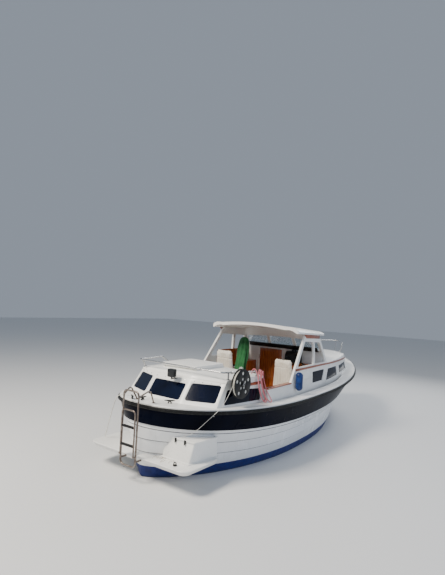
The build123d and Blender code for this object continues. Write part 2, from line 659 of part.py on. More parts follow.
def make_rails():
    r = tube_radius
    z = 1452
    y = rail_y
    foot = crown_z(1000, cabin_side_z - 24 + roof_thick, cabin_mid_z + roof_thick, y - r) + seam
    port = tube([(-2350, y, foot), (-2350, y, z), (-1480, y, z), (-1480, y, foot)], r, 45)
    starboard = tube([(-2205, -y, foot), (-2205, -y, z), (-1450, -y, z), (-1450, -y, foot)], r, 45)
    cross = rod((-2190, y, z), (-2190, -y, z), r)
    nodes["roof_rail"] = port + starboard + cross
    top = 1690
    port = [(2500, 735, deck_z(2500 + r) + 3), (2620, 735, top - 30), (3300, 560, top), (3870, 150, top + 20)]
    pulpit = tube(port + [(x, -y, z) for x, y, z in reversed(port)], r, 90)
    for x, y in ((3230, 580), (3720, 255)):
        for leg in both_sides(rod((x - 40, y, deck_z(x - 40 + r) + 1), (x, y, top + 2), r - 2)):
            pulpit += leg
    nodes["pulpit"] = pulpit


def make_platform():
    hull = hull_space(-3)
    outline = [(plat_aft, plat_gap), (plat_aft, plat_half), (plat_fore, plat_half), (plat_fore, plat_gap)]
    half = prism_z(outline, plat_top - plat_thick, plat_top)
    corners = half.edges().filter_by(Axis.Z).sort_by(Axis.Y)[-2:]
    half = fillet(corners, 60)
    half = half - hull
    nodes["swim_platform"] = group([max(s.solids(), key=lambda p: p.volume) for s in both_sides(half)])
    low = make_face(Polyline([(x, y, plat_top + seam) for x, y in ((-2970, -300), (-2970, -880), (-2440, -880), (-2440, -300))], close=True))
    high = make_face(Polyline([(x, y, 590) for x, y in ((-2905, -312), (-2905, -805), (-2440, -805), (-2440, -312))], close=True))
    box = loft([low, high], ruled=True) - hull
    box = max(box.solids(), key=lambda p: p.volume)
    inner = loft([Pos(0, 0, 8) * low, Pos(0, 0, 8) * high], ruled=True)
    nodes["platform_locker"] = box
    lid = prism_z([(-2915, -302), (-2915, -815), (-2430, -815), (-2430, -302)], 590 + seam, 612) - hull
    nodes["locker_lid"] = max(lid.solids(), key=lambda p: p.volume)


def make_ladder():
    r = ladder_tube
    x, h = ladder_x, ladder_half
    frame = tube([(x, -h, ladder_low), (x, -h, ladder_top), (x, h, ladder_top), (x, h, ladder_low)], r, 60)
    frame += rod((x, -h, ladder_low + 6), (x, h, ladder_low + 6), r)
    for side in (-1, 1):
        frame += rod((x, side * h, 296), (plat_aft - seam, side * h, 296), 14)
        frame += rod((x, side * h, 1060), (-3080, side * h, 1060), 9)
        frame += rod((-3080, side * h, 1060), (-3080, side * h, deck_z(-3089) + seam), 9)
        frame += rod((fold_x, side * (fold_half + r + 0.4), ladder_hinge), (fold_x, side * h, ladder_hinge), 6)
        frame += block(fold_x - 10, x, side * h - 5, side * h + 5, ladder_hinge - 10, ladder_hinge + 10)
    nodes["ladder_frame"] = frame
    x, h = fold_x, fold_half
    fold = tube([(x, -h, ladder_hinge - 12), (x, -h, fold_top), (x, h, fold_top), (x, h, ladder_hinge - 12)], r, 50)
    for z in (490, 730):
        fold += rod((x, -h, z), (x, h, z), 13)
    nodes["ladder_fold"] = fold


def make_reel():
    axis = Pos(reel_x, reel_y, reel_z) * Rot(90, 0, 0)
    flange = Cylinder(reel_radius, 8)
    for i in range(5):
        flange -= Rot(0, 0, 72 * i) * Pos(82, 0, 0) * Cylinder(24, 20)
        flange -= Rot(0, 0, 72 * i + 36) * Pos(160, 0, 0) * Cylinder(26, 20)
    reel = Pos(0, 0, 26) * flange + Pos(0, 0, -26) * flange + Cylinder(44, 52)
    reel -= Cylinder(spindle_radius + seam, 100)
    nodes["line_reel"] = axis * reel
    y0, y1 = reel_y + 50, reel_y + 60
    bracket = block(reel_x - 30, reel_x + 30, y0, y1, 1070, reel_z + 30)
    bracket += block(reel_x - 30, reel_x + 30, y1, -800, 1080, 1120)
    bracket -= cabin_body(-seam)
    bracket += axis * Cylinder(spindle_radius, 104)
    bracket += axis * Pos(0, 0, 44) * Cylinder(24, 12)
    nodes["reel_bracket"] = bracket


def make_fittings():
    cleats = []
    for x, y in ((-2985, 130), (-2820, -290), (3330, 300), (3330, -300)):
        z = max(deck_z(x - 25), deck_z(x + 25)) + seam
        cleats.append(Pos(x, y, z + 15) * Box(50, 26, 30) + Pos(x, y, z + 34) * Box(150, 20, 14))
    nodes["cleats"] = group(cleats)
    lamp = block(-2490, -2410, 20, 120, 1360, 1440)
    lamp = fillet(lamp.edges().filter_by(Axis.X), 14)
    lamp += block(-2462, -2438, 60, 80, cabin_mid_z + roof_thick + seam, 1365)
    nodes["floodlight"] = lamp


def lining_z(x, y):
    """Height of the hardtop's lining, within its flat crown."""
    mid = top_mid_z - top_thick
    z = crown_z(top_half_aft - top_lip - 230, mid - 44, mid, y) - top_edge_z
    turn = radians(top_tilt)
    along = (x - top_aft - z * sin(turn)) / cos(turn)
    return top_edge_z + z * cos(turn) - along * sin(turn)


def make_trim():
    """Wooden strips under the hardtop's lip."""
    high = top_edge_z - top_thick - seam
    strip = tilted(block(top_aft + 180, top_fore - 140, 0, 1100, high - 34, high))
    strip &= frame_body(-14, 14) - frame_body(-seam, 14)
    strip = strip.solids().sort_by(Axis.Y)[-1]
    nodes["hardtop_trim"] = group(both_sides(strip))


def make_soft():
    fender = Cylinder(62, 190) + Pos(0, 0, 95) * Sphere(62) + Pos(0, 0, -95) * Sphere(62)
    nodes["fender"] = Pos(-460, -1075.8, 1165) * fender
    hank = loft([Pos(-1500, -843, 1475) * Ellipse(40, 24), Pos(-1500, -948, 1370) * Ellipse(50, 34),
                 Pos(-1506, -958, 1200) * Ellipse(48, 34), Pos(-1515, -985, deck_z(-1577) + seam) * Ellipse(62, 40)], ruled=True)
    nodes["rope_hank"] = hank
    nodes["line_coil"] = Pos(-1880, -rail_y - tube_radius - seam - 30, 1440) * Box(150, 60, 110)
    x, y = 290, 575
    cover = loft([Pos(x - 10, y, 1010) * Rectangle(120, 300), Pos(x, y, 1500) * Rectangle(130, 340),
                  Pos(x, y, 1790) * Rectangle(90, 180)])
    nodes["green_cover"] = cover + block(x - 8, x + 8, y - 20, y + 20, 1780, lining_z(x + 8, y + 20) - 1)
    route = [(-2930, 400, deck_z(-2935) + 5.3), (-3030, 530, deck_z(-3035) + 5.3), (-2925, 880, plat_top + 6)]
    nodes["platform_stay"] = tube(route, 5, 14)


def make_bow_eye():
    """Towing eye, bedded on the stem."""
    stem_low = lap_points("lower", 1)[-1]
    stem_high = lap_points("upper", 1, -lap_step)[-1]
    slope = (stem_high[0] - stem_low[0]) / (stem_high[2] - stem_low[2])

    def stem_x(z):
        return stem_low[0] + slope * (z - stem_low[2]) + seam

    low, high = eye_z - eye_half_deep, eye_z + eye_half_deep
    plate = prism_y([(stem_x(low), low), (eye_x + eye_half_deep, low), (eye_x + eye_half_deep, high),
                     (stem_x(high), high)], -eye_thick / 2, eye_thick / 2)
    corners = plate.edges().filter_by(Axis.Y).sort_by(Axis.X)[-2:]
    plate = fillet(corners, eye_half_deep - 2)
    plate -= Pos(eye_x, 0, eye_z) * Rot(90, 0, 0) * Cylinder(eye_radius, 4 * eye_thick)
    nodes["bow_eye"] = plate


nodes = {}
make_hull()
make_deck()
make_aft_cabin()
make_house()
make_wheelhouse()
make_interior()
make_cockpit()
make_stern_gear()
make_rails()
make_platform()
make_ladder()
make_reel()
make_fittings()
make_trim()
make_soft()
make_bow_eye()

os.makedirs("parts", exist_ok=True)
for name, solid in nodes.items():
    export_step(solid, f"parts/{name}.step")
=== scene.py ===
# Looks of the motor cruiser: its finishes, upholstery, ropes and small fittings, around the fixed frame.
# Metres. +X points to the bow, +Y to port, +Z up, and the waterline is at z = 0.
import bmesh
import bpy
import random
from math import atan2, cos, hypot, pi, radians, sin, tan
from mathutils import Matrix, Vector


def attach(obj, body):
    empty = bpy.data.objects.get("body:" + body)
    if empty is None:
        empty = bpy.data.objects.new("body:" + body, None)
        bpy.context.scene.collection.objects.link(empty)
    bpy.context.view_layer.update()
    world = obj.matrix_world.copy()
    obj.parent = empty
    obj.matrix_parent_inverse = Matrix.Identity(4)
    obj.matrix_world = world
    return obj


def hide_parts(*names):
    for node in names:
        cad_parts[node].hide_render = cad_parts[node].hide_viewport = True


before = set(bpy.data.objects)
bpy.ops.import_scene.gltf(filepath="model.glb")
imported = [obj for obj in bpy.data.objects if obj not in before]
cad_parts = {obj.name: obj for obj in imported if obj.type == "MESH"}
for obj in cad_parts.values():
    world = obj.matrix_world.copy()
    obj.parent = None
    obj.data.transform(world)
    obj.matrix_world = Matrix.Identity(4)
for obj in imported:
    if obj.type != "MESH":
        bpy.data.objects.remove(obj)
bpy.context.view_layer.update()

# Camera, as fitted to the photograph
photo_high = 575
eye = Vector((-7.312, -4.370, 2.397))
heading, pitch, roll = radians(36.18), radians(2.31), radians(2.92)
focal_px = 435.64
sensor = 36.0

mm = 0.001

# Laps of the planking: x aft, amidships and at the bow, then z there, in millimetres
lap_lines = (
    (-3094, -300, 3810, 706, 541, 880),
    (-3072, -400, 3620, 545, 421, 715),
    (-3050, -430, 3460, 365, 268, 462),
)
# A line of painted shade lies a little below each: how far, and half its height
lap_drop, lap_half = 5, 5.5

# Sockets of the node that mixes two colours
mix_share, mix_below, mix_above, mix_result = 0, 6, 7, 2


def shown(name, data):
    """New object of the scene."""
    made = bpy.data.objects.new(name, data)
    bpy.context.scene.collection.objects.link(made)
    return made


def add_camera():
    """Camera that stands as the photograph's did."""
    ahead = Vector((cos(heading), sin(heading), 0))
    right = Vector((sin(heading), -cos(heading), 0))
    up = Vector((0, 0, 1))
    forward = cos(pitch) * ahead + sin(pitch) * up
    above = cos(pitch) * up - sin(pitch) * ahead
    across = cos(roll) * right + sin(roll) * above
    top = cos(roll) * above - sin(roll) * right
    data = bpy.data.cameras.new("camera")
    data.sensor_width = sensor
    data.lens = focal_px * sensor / photo_high
    camera = shown("camera", data)
    turn = Matrix((across, top, -forward)).transposed().to_4x4()
    camera.matrix_world = Matrix.Translation(eye) @ turn
    bpy.context.scene.camera = camera


def add_light(name, place, aim, size, watts, colour="#FFFFFF"):
    """Square light that faces its aim."""
    data = bpy.data.lights.new(name, "AREA")
    data.size = size
    data.energy = watts
    data.color = linear(colour)[:3]
    light = shown(name, data)
    light.location = place
    light.rotation_euler = (Vector(aim) - Vector(place)).to_track_quat("-Z", "Y").to_euler()


def linear(code):
    """Linear RGBA of an sRGB hex colour."""
    channels = [int(code[i:i + 2], 16) / 255 for i in (1, 3, 5)]
    return [c / 12.92 if c <= 0.04045 else ((c + 0.055) / 1.055) ** 2.4 for c in channels] + [1.0]


def per_metre(size_mm):
    """Texture scale of a pattern that repeats about every size_mm."""
    return 1 / (size_mm * mm)


def put(tree, kind, sockets=None, stops=(), **settings):
    """Adds a node with its settings and ramp stops; each socket takes a value or a link."""
    made = tree.nodes.new(kind)
    for name, value in settings.items():
        setattr(made, name, value)
    for i, (position, colour) in enumerate(stops):
        ramp = made.color_ramp.elements
        stop = ramp[i] if i < 2 else ramp.new(position)
        stop.position = position
        stop.color = linear(colour)
    for name, source in (sockets or {}).items():
        if isinstance(source, bpy.types.NodeSocket):
            tree.links.new(source, made.inputs[name])
        else:
            made.inputs[name].default_value = source
    return made


def blank(name, **sockets):
    """New material, its node tree and its shader, with the shader's sockets set by name."""
    made = bpy.data.materials.new(name)
    made.use_nodes = True
    tree = made.node_tree
    shader = tree.nodes["Principled BSDF"]
    for socket, value in sockets.items():
        shader.inputs[socket.replace("_", " ")].default_value = value
    return made, tree, shader


def place_of(tree, stretch=(1, 1, 1)):
    """Coordinates on the piece in metres, stretched along its axes."""
    coords = put(tree, "ShaderNodeTexCoord").outputs["Object"]
    return put(tree, "ShaderNodeMapping", {"Scale": stretch, "Vector": coords}).outputs[0]


def drift(tree, place, size_mm, detail):
    """Noise in patches of about size_mm."""
    sockets = {"Scale": per_metre(size_mm), "Detail": detail, "Vector": place}
    return put(tree, "ShaderNodeTexNoise", sockets).outputs[0]


def mottle(tree, place, size_mm, stops, detail=4.0):
    """Colour that drifts between the stops in patches of about size_mm."""
    noise = drift(tree, place, size_mm, detail)
    return put(tree, "ShaderNodeValToRGB", {"Fac": noise}, stops).outputs[0]


def stain_and_shade(tree, below, colour, mask, clear, full, most=1.0):
    """Lays a colour over another, as a stain and as painted shade: none where the mask is `clear`, and `most`
    where it is `full`.
    """
    share = put(tree, "ShaderNodeMapRange", {"Value": mask, "From Min": clear, "From Max": full,
                                             "To Max": most})
    sockets = {mix_share: share.outputs[0], mix_below: below, mix_above: linear(colour)}
    return put(tree, "ShaderNodeMix", sockets, data_type="RGBA").outputs[mix_result]


def colour_skin(tree, shader, colour):
    """Base colour of the skin."""
    tree.links.new(colour, shader.inputs["Base Color"])


def raise_skin(tree, shader, height, depth_mm):
    """Relief of the given depth from a height between 0 and 1."""
    bump = put(tree, "ShaderNodeBump", {"Strength": 1.0, "Distance": depth_mm * mm, "Height": height})
    tree.links.new(bump.outputs[0], shader.inputs["Normal"])


def wear_roughness(tree, shader, place, size_mm, low, high):
    """Roughness that drifts from low to high in patches of about size_mm."""
    noise = drift(tree, place, size_mm, 5.0)
    spread = put(tree, "ShaderNodeMapRange", {"Value": noise, "To Min": low, "To Max": high})
    tree.links.new(spread.outputs[0], shader.inputs["Roughness"])


def lap_shadow(tree, place):
    """1 in the line of painted shade below each lap of the planking, 0 elsewhere."""
    spot = put(tree, "ShaderNodeSeparateXYZ", {"Vector": place}).outputs
    shade_lines = 0.0
    for x_aft, x_mid, x_bow, z_aft, z_mid, z_bow in lap_lines:
        level = (z_mid - lap_drop) * mm
        for x_end, z_end in ((x_aft, z_aft), (x_bow, z_bow)):
            along = put(tree, "ShaderNodeMapRange", {"Value": spot["X"], "From Min": x_mid * mm,
                                                     "From Max": x_end * mm}, clamp=False).outputs[0]
            share = put(tree, "ShaderNodeMath", {0: along, 1: 0.0}, operation="MAXIMUM").outputs[0]
            square = put(tree, "ShaderNodeMath", {0: share, 1: share}, operation="MULTIPLY").outputs[0]
            level = put(tree, "ShaderNodeMath", {0: square, 1: (z_end - z_mid) * mm, 2: level},
                        operation="MULTIPLY_ADD").outputs[0]
        # Painted shade: 1 within lap_half of the level below the lap
        shade_line = put(tree, "ShaderNodeMath", {0: spot["Z"], 1: level, 2: lap_half * mm}, operation="COMPARE")
        shade_lines = put(tree, "ShaderNodeMath", {0: shade_lines, 1: shade_line.outputs[0]}, operation="MAXIMUM").outputs[0]
    return shade_lines


def white_gelcoat():
    # Moulded polyester gelcoat: a gloss dulled by weather, with faint runs below the deck, a greyer foot, and
    # a line of painted shade below each lap.
    made, tree, shader = blank("white_gelcoat", IOR=1.5, Coat_Weight=0.25, Coat_Roughness=0.08)
    place = place_of(tree)
    clean = mottle(tree, place, 700, ((0.3, "#E6E8EA"), (0.7, "#F2F3F3")))
    runs = drift(tree, place_of(tree, (1, 1, 0.06)), 45, 3.0)
    tinted = stain_and_shade(tree, clean, "#A9A69A", runs, 0.55, 0.80, 0.16)
    height = put(tree, "ShaderNodeSeparateXYZ", {"Vector": place}).outputs["Z"]
    stained = stain_and_shade(tree, tinted, "#B9B8A4", height, 0.30, 0.10, 0.30)
    # Painted shade: a dark grey line below each lap of the planking
    colour_skin(tree, shader, stain_and_shade(tree, stained, "#4E5258", lap_shadow(tree, place), 0.0, 1.0))
    wear_roughness(tree, shader, place, 260, 0.18, 0.34)
    raise_skin(tree, shader, drift(tree, place, 90, 1.0), 0.25)
    return made


def moulded_deck():
    # Gelcoat of deck and cabins: a smooth matt gloss on the sides, a fine pebble on what is walked on.
    made, tree, shader = blank("moulded_deck", IOR=1.5, Coat_Weight=0.12, Coat_Roughness=0.15)
    place = place_of(tree)
    clean = mottle(tree, place, 420, ((0.28, "#E3E3DF"), (0.72, "#F1F1EE")))
    colour_skin(tree, shader, stain_and_shade(tree, clean, "#9B968A", drift(tree, place, 28, 8.0), 0.60, 0.85, 0.35))
    wear_roughness(tree, shader, place, 180, 0.30, 0.48)
    normal = put(tree, "ShaderNodeNewGeometry").outputs["Normal"]
    upward = put(tree, "ShaderNodeSeparateXYZ", {"Vector": normal}).outputs["Z"]
    tread = put(tree, "ShaderNodeMapRange", {"Value": upward, "From Min": 0.90, "From Max": 0.97}).outputs[0]
    # The pebbles are 3 mm, a little coarser than real ones, so that they show.
    pebble = put(tree, "ShaderNodeTexVoronoi", {"Scale": per_metre(3), "Vector": place}).outputs["Distance"]
    height = put(tree, "ShaderNodeMath", {0: pebble, 1: tread}, operation="MULTIPLY")
    raise_skin(tree, shader, height.outputs[0], 0.5)
    return made


def navy_gelcoat():
    # Dark gelcoat band: near-black blue with a deep, slightly dusty gloss.
    made, tree, shader = blank("navy_gelcoat", IOR=1.45, Specular_IOR_Level=0.04)
    place = place_of(tree)
    colour_skin(tree, shader, mottle(tree, place, 500, ((0.3, "#02040C"), (0.7, "#050A1C"))))
    wear_roughness(tree, shader, place, 200, 0.22, 0.36)
    raise_skin(tree, shader, drift(tree, place, 110, 1.0), 0.3)
    return made


def antifouling():
    # Rolled antifouling paint: matt deep blue, with a dull scum line where it leaves the water.
    made, tree, shader = blank("antifouling", IOR=1.45)
    place = place_of(tree)
    paint = mottle(tree, place, 60, ((0.3, "#101E57"), (0.7, "#1A2C74")), 8.0)
    height = put(tree, "ShaderNodeSeparateXYZ", {"Vector": place}).outputs["Z"]
    colour_skin(tree, shader, stain_and_shade(tree, paint, "#2C3A4C", height, 0.045, 0.0, 0.55))
    wear_roughness(tree, shader, place, 70, 0.55, 0.78)
    # Roller stipple of about 4 mm
    raise_skin(tree, shader, drift(tree, place, 4, 2.0), 0.4)
    return made


def fender_rubber():
    # Extruded EPDM rubber: dull black with grey scuffs along its length.
    made, tree, shader = blank("fender_rubber", IOR=1.5, Specular_IOR_Level=0.2)
    place = place_of(tree)
    scuffs = mottle(tree, place_of(tree, (0.12, 1, 1)), 14, ((0.45, "#0B0C0D"), (0.75, "#2C2D2F")), 6.0)
    colour_skin(tree, shader, scuffs)
    wear_roughness(tree, shader, place, 50, 0.45, 0.7)
    raise_skin(tree, shader, drift(tree, place, 3, 2.0), 0.2)
    return made


def smoked_acrylic():
    # Cast acrylic, smoked almost black, with the faint waves of a hand-fitted pane.
    made, tree, shader = blank("smoked_acrylic", IOR=1.49, Roughness=0.06, Specular_IOR_Level=0.3)
    place = place_of(tree)
    colour_skin(tree, shader, mottle(tree, place, 300, ((0.3, "#030716"), (0.7, "#081026"))))
    raise_skin(tree, shader, drift(tree, place, 240, 0.0), 0.6)
    return made


def toughened_glass():
    # Float glass, toughened: clear with a green-blue edge and a little salt haze.
    made, tree, shader = blank("toughened_glass", IOR=1.5, Transmission_Weight=0.92, Alpha=0.55)
    place = place_of(tree)
    colour_skin(tree, shader, mottle(tree, place, 200, ((0.3, "#B7CBD0"), (0.7, "#CFDDE0"))))
    wear_roughness(tree, shader, place, 90, 0.02, 0.09)
    return made


def varnished_mahogany(name="varnished_mahogany", dark="#6A2A12", light="#A9562A", run=(1, 0.16, 1)):
    # Mahogany, sawn with its ribbon grain showing and varnished: warm brown under a clear gloss.
    made, tree, shader = blank(name, IOR=1.5, Coat_Weight=0.55, Coat_Roughness=0.12)
    place = place_of(tree, run)
    # Growth bands of about 22 mm with pores of 2 mm
    bands = put(tree, "ShaderNodeTexNoise", {"Scale": per_metre(22), "Detail": 6.0, "Distortion": 0.6,
                                             "Vector": place}).outputs[0]
    wood = put(tree, "ShaderNodeValToRGB", {"Fac": bands}, ((0.30, dark), (0.70, light))).outputs[0]
    pores = drift(tree, place, 2, 2.0)
    colour_skin(tree, shader, stain_and_shade(tree, wood, "#3A160A", pores, 0.55, 0.75, 0.5))
    wear_roughness(tree, shader, place_of(tree), 120, 0.22, 0.42)
    raise_skin(tree, shader, pores, 0.12)
    return made


def stainless_tube():
    # Drawn stainless tube, polished: bright, with fine lengthwise marks and tea-coloured spots.
    made, tree, shader = blank("stainless_tube", Metallic=1.0)
    place = place_of(tree)
    spots = ((0.45, "#B9BABB"), (0.62, "#C8C9CA"), (0.80, "#8B7E72"))
    colour_skin(tree, shader, mottle(tree, place, 35, spots, 6.0))
    wear_roughness(tree, shader, place, 18, 0.16, 0.34)
    return made


def ladder_steel():
    # Stainless that stands in spray: the same tube, browned all over by tea staining.
    made, tree, shader = blank("ladder_steel", Metallic=0.9)
    place = place_of(tree)
    browned = ((0.30, "#5C5049"), (0.55, "#857A72"), (0.80, "#A9A6A2"))
    colour_skin(tree, shader, mottle(tree, place, 60, browned, 6.0))
    wear_roughness(tree, shader, place, 20, 0.28, 0.5)
    return made


def moulded_black(name="moulded_black", dark="#0A0A0B", light="#161719", roughness=(0.35, 0.55)):
    # Injection-moulded ABS: even and dull, with a fine spark-eroded grain of about 1.5 mm.
    made, tree, shader = blank(name, IOR=1.53, Specular_IOR_Level=0.3)
    place = place_of(tree)
    colour_skin(tree, shader, mottle(tree, place, 80, ((0.35, dark), (0.7, light))))
    wear_roughness(tree, shader, place, 40, *roughness)
    raise_skin(tree, shader, drift(tree, place, 1.5, 2.0), 0.12)
    return made


def bronze():
    # Cast manganese bronze, dulled brown-green by the water.
    made, tree, shader = blank("bronze", Metallic=0.9)
    place = place_of(tree)
    dulled = ((0.3, "#6B4A22"), (0.55, "#8C6A35"), (0.8, "#5B6A4A"))
    colour_skin(tree, shader, mottle(tree, place, 40, dulled, 8.0))
    wear_roughness(tree, shader, place, 25, 0.35, 0.6)
    return made


def engine_enamel():
    # Brushed enamel on cast iron: grey-green with oily patches.
    made, tree, shader = blank("engine_enamel", IOR=1.5)
    place = place_of(tree)
    colour_skin(tree, shader, mottle(tree, place, 90, ((0.3, "#23402C"), (0.7, "#3B5A42"))))
    wear_roughness(tree, shader, place, 60, 0.3, 0.6)
    return made


def cream_leathercloth():
    # Vinyl leathercloth, embossed: soft sheen and a pebble grain of about 2.5 mm.
    made, tree, shader = blank("cream_leathercloth", IOR=1.48, Sheen_Weight=0.15)
    place = place_of(tree)
    colour_skin(tree, shader, mottle(tree, place, 110, ((0.3, "#D6CFBF"), (0.7, "#E9E4D8"))))
    wear_roughness(tree, shader, place, 60, 0.42, 0.6)
    grain = put(tree, "ShaderNodeTexVoronoi", {"Scale": per_metre(2.5), "Vector": place})
    raise_skin(tree, shader, grain.outputs["Distance"], 0.25)
    return made


def laid_rope(name, dark, light, pitch_mm):
    # Spun rope: matt fibres whose strands show as slanting ridges.
    made, tree, shader = blank(name, IOR=1.45, Sheen_Weight=0.3, Roughness=0.8)
    place = place_of(tree)
    colour_skin(tree, shader, mottle(tree, place, 9, ((0.3, dark), (0.7, light)), 6.0))
    strand = put(tree, "ShaderNodeTexWave", {"Scale": per_metre(pitch_mm) / (2 * pi), "Distortion": 1.5,
                                             "Vector": place}, bands_direction="DIAGONAL")
    raise_skin(tree, shader, strand.outputs[1], 0.8)
    return made


def green_canvas():
    # Woven acrylic canvas: plain weave of about 2 mm here, so that it shows.
    made, tree, shader = blank("green_canvas", IOR=1.45, Sheen_Weight=0.25, Roughness=0.85)
    place = place_of(tree)
    colour_skin(tree, shader, mottle(tree, place, 130, ((0.3, "#12502A"), (0.7, "#2E7A44"))))
    threads = [put(tree, "ShaderNodeTexWave", {"Scale": per_metre(2) / (2 * pi), "Vector": place},
                   bands_direction=direction).outputs[1] for direction in ("Y", "Z")]
    weave = put(tree, "ShaderNodeMath", dict(enumerate(threads)), operation="MULTIPLY")
    raise_skin(tree, shader, weave.outputs[0], 0.3)
    return made


def dry_leaf():
    # Dead leaves: curled, brown and matt.
    made, tree, shader = blank("dry_leaf", IOR=1.4, Roughness=0.8)
    colour_skin(tree, shader, mottle(tree, place_of(tree), 30, ((0.3, "#5A4630"), (0.7, "#9A8460"))))
    return made


def floor_paint():
    # The stage: a plain pale floor.
    return blank("floor_paint", Base_Color=linear("#D9DADA"), Roughness=0.6)[0]


def make_finishes():
    """All materials, by the names that the pieces use."""
    return {
        "white": white_gelcoat(),
        "navy": navy_gelcoat(),
        "bottom": antifouling(),
        "rubber": fender_rubber(),
        "deck": moulded_deck(),
        "acrylic": smoked_acrylic(),
        "glass": toughened_glass(),
        "mahogany": varnished_mahogany(),
        "board": varnished_mahogany("upright_mahogany", "#7A3313", "#BC6A2C", (1, 1, 0.12)),
        "steel": stainless_tube(),
        "ladder": ladder_steel(),
        "leather": cream_leathercloth(),
        "black": moulded_black(),
        "grey": moulded_black("moulded_grey", "#1B1D20", "#2B2E32", (0.3, 0.5)),
        "blue": moulded_black("blue_vinyl", "#0C2350", "#1B3A78", (0.25, 0.45)),
        "bronze": bronze(),
        "enamel": engine_enamel(),
        "pink_rope": laid_rope("pink_rope", "#B0505C", "#DB8C92", 12),
        "white_rope": laid_rope("white_rope", "#C9C7BE", "#ECEAE2", 10),
        "canvas": green_canvas(),
        "leaf": dry_leaf(),
    }


node_finishes = {
    "white": ("hull_topsides",),
    "navy": ("sheer_strake",),
    "bottom": ("hull_bottom",),
    "rubber": ("rub_rail",),
    "deck": ("deck", "aft_cabin", "aft_cabin_roof", "aft_hatch", "coaming", "cockpit_liner", "berths",
             "fore_cabin", "fore_hatch", "wheelhouse_frame", "hardtop", "seat_bases", "swim_platform",
             "platform_locker", "locker_lid"),
    "acrylic": ("aft_cabin_glass", "fore_cabin_glass"),
    "glass": ("wheelhouse_glass",),
    "mahogany": ("coaming_caps", "cockpit_sole", "handrails", "hardtop_trim"),
    "board": ("aft_bulkhead", "aft_door", "fore_bulkhead", "fore_door", "console", "port_locker"),
    "steel": ("roof_rail", "pulpit", "reel_bracket", "bow_eye"),
    "ladder": ("ladder_frame", "ladder_fold"),
    "leather": ("helm_seat", "mate_seat"),
    "black": ("line_reel", "cleats", "steering_wheel"),
    "grey": ("floodlight",),
    "blue": ("fender",),
    "bronze": ("propeller", "rudder"),
    "enamel": ("engine",),
    "pink_rope": ("rope_hank",),
    "white_rope": ("line_coil", "platform_stay"),
    "canvas": ("green_cover",),
}


def dress_nodes(finish):
    """Gives every CAD node its finish."""
    for kind, names in node_finishes.items():
        for name in names:
            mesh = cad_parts[name].data
            mesh.materials.clear()
            mesh.materials.append(finish[kind])


def finish_mesh(form, name):
    """Mesh in metres from a bmesh in millimetres, with its faces turned outwards."""
    bmesh.ops.recalc_face_normals(form, faces=form.faces)
    bmesh.ops.scale(form, vec=(mm, mm, mm), verts=form.verts)
    mesh = bpy.data.meshes.new(name)
    form.to_mesh(mesh)
    form.free()
    return mesh


def lofted(*rings, closed=False):
    """Closed mesh skinned over rings of equal count, with flat ends unless the rings come round again."""
    form = bmesh.new()
    loops = [[form.verts.new(p) for p in ring] for ring in rings]
    count = len(loops[0])
    pairs = list(zip(loops, loops[1:])) + ([(loops[-1], loops[0])] if closed else [])
    for low, high in pairs:
        for i in range(count):
            j = (i + 1) % count
            form.faces.new((low[i], low[j], high[j], high[i]))
    if not closed:
        form.faces.new(list(reversed(loops[0])))
        form.faces.new(loops[-1])
    return finish_mesh(form, "loft")


def prism(points, axis, low, high):
    """Prism along x, y or z; the points hold the other two coordinates in their order."""
    place = {"x": lambda p, d: (d, *p), "y": lambda p, d: (p[0], d, p[1]), "z": lambda p, d: (*p, d)}[axis]
    return lofted([place(p, low) for p in points], [place(p, high) for p in points])


def stacked(*rows):
    """Closed mesh skinned over flat plans, each given with its height."""
    return lofted(*[[(x, y, z) for x, y in plan] for plan, z in rows])


def rectangle(x0, x1, y0, y1):
    return [(x0, y0), (x1, y0), (x1, y1), (x0, y1)]


def slab(x0, x1, y0, y1, z0, z1):
    return prism(rectangle(x0, x1, y0, y1), "z", z0, z1)


def evaluated(holder):
    """Mesh of an object with its modifiers applied."""
    graph = bpy.context.evaluated_depsgraph_get()
    return bpy.data.meshes.new_from_object(holder.evaluated_get(graph))


def carve(base, tool, operation="DIFFERENCE"):
    """Boolean of two closed meshes; both are used up."""
    pair = [shown("base", base), shown("tool", tool)]
    cut = pair[0].modifiers.new("cut", "BOOLEAN")
    cut.object, cut.operation, cut.solver = pair[1], operation, "EXACT"
    cut.use_self = False
    result = evaluated(pair[0])
    for item in pair:
        data = item.data
        bpy.data.objects.remove(item)
        bpy.data.meshes.remove(data)
    return result


def together(*meshes):
    """One mesh that holds all of them, unjoined."""
    form = bmesh.new()
    for mesh in meshes:
        form.from_mesh(mesh)
    joined = bpy.data.meshes.new("group")
    form.to_mesh(joined)
    form.free()
    return joined


def both_sides(mesh):
    """The mesh and its mirror image across the centreline."""
    form = bmesh.new()
    form.from_mesh(mesh)
    bmesh.ops.scale(form, vec=(1, -1, 1), verts=form.verts)
    bmesh.ops.reverse_faces(form, faces=form.faces)
    other = bpy.data.meshes.new("mirror")
    form.to_mesh(other)
    form.free()
    return together(mesh, other)


def placed(mesh, spot, turn):
    """The mesh, turned by degrees about z and moved to a spot."""
    move = Matrix.Translation(Vector(spot) * mm)
    mesh.transform(move @ Matrix.Rotation(radians(turn), 4, "Z"))
    return mesh


def round_edges(mesh, width, segments=2, angle=40):
    """Rounds every edge sharper than the angle."""
    holder = shown("holder", mesh)
    cut = holder.modifiers.new("cut", "TRIANGULATE")
    cut.min_vertices = 5
    bevel = holder.modifiers.new("bevel", "BEVEL")
    bevel.width, bevel.segments = width * mm, segments
    bevel.limit_method, bevel.angle_limit = "ANGLE", radians(angle)
    result = evaluated(holder)
    bpy.data.objects.remove(holder)
    return result


def piece(name, mesh, material, body="hull", instead_of=(), crease=32):
    """Object that rides on a body, wears a material and may stand for CAD nodes."""
    mesh.name = name
    mesh.materials.clear()
    mesh.materials.append(material)
    for polygon in mesh.polygons:
        polygon.use_smooth = True
    mesh.set_sharp_from_angle(angle=radians(crease))
    made = shown(name, mesh)
    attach(made, body)
    if instead_of:
        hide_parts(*instead_of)
    return made


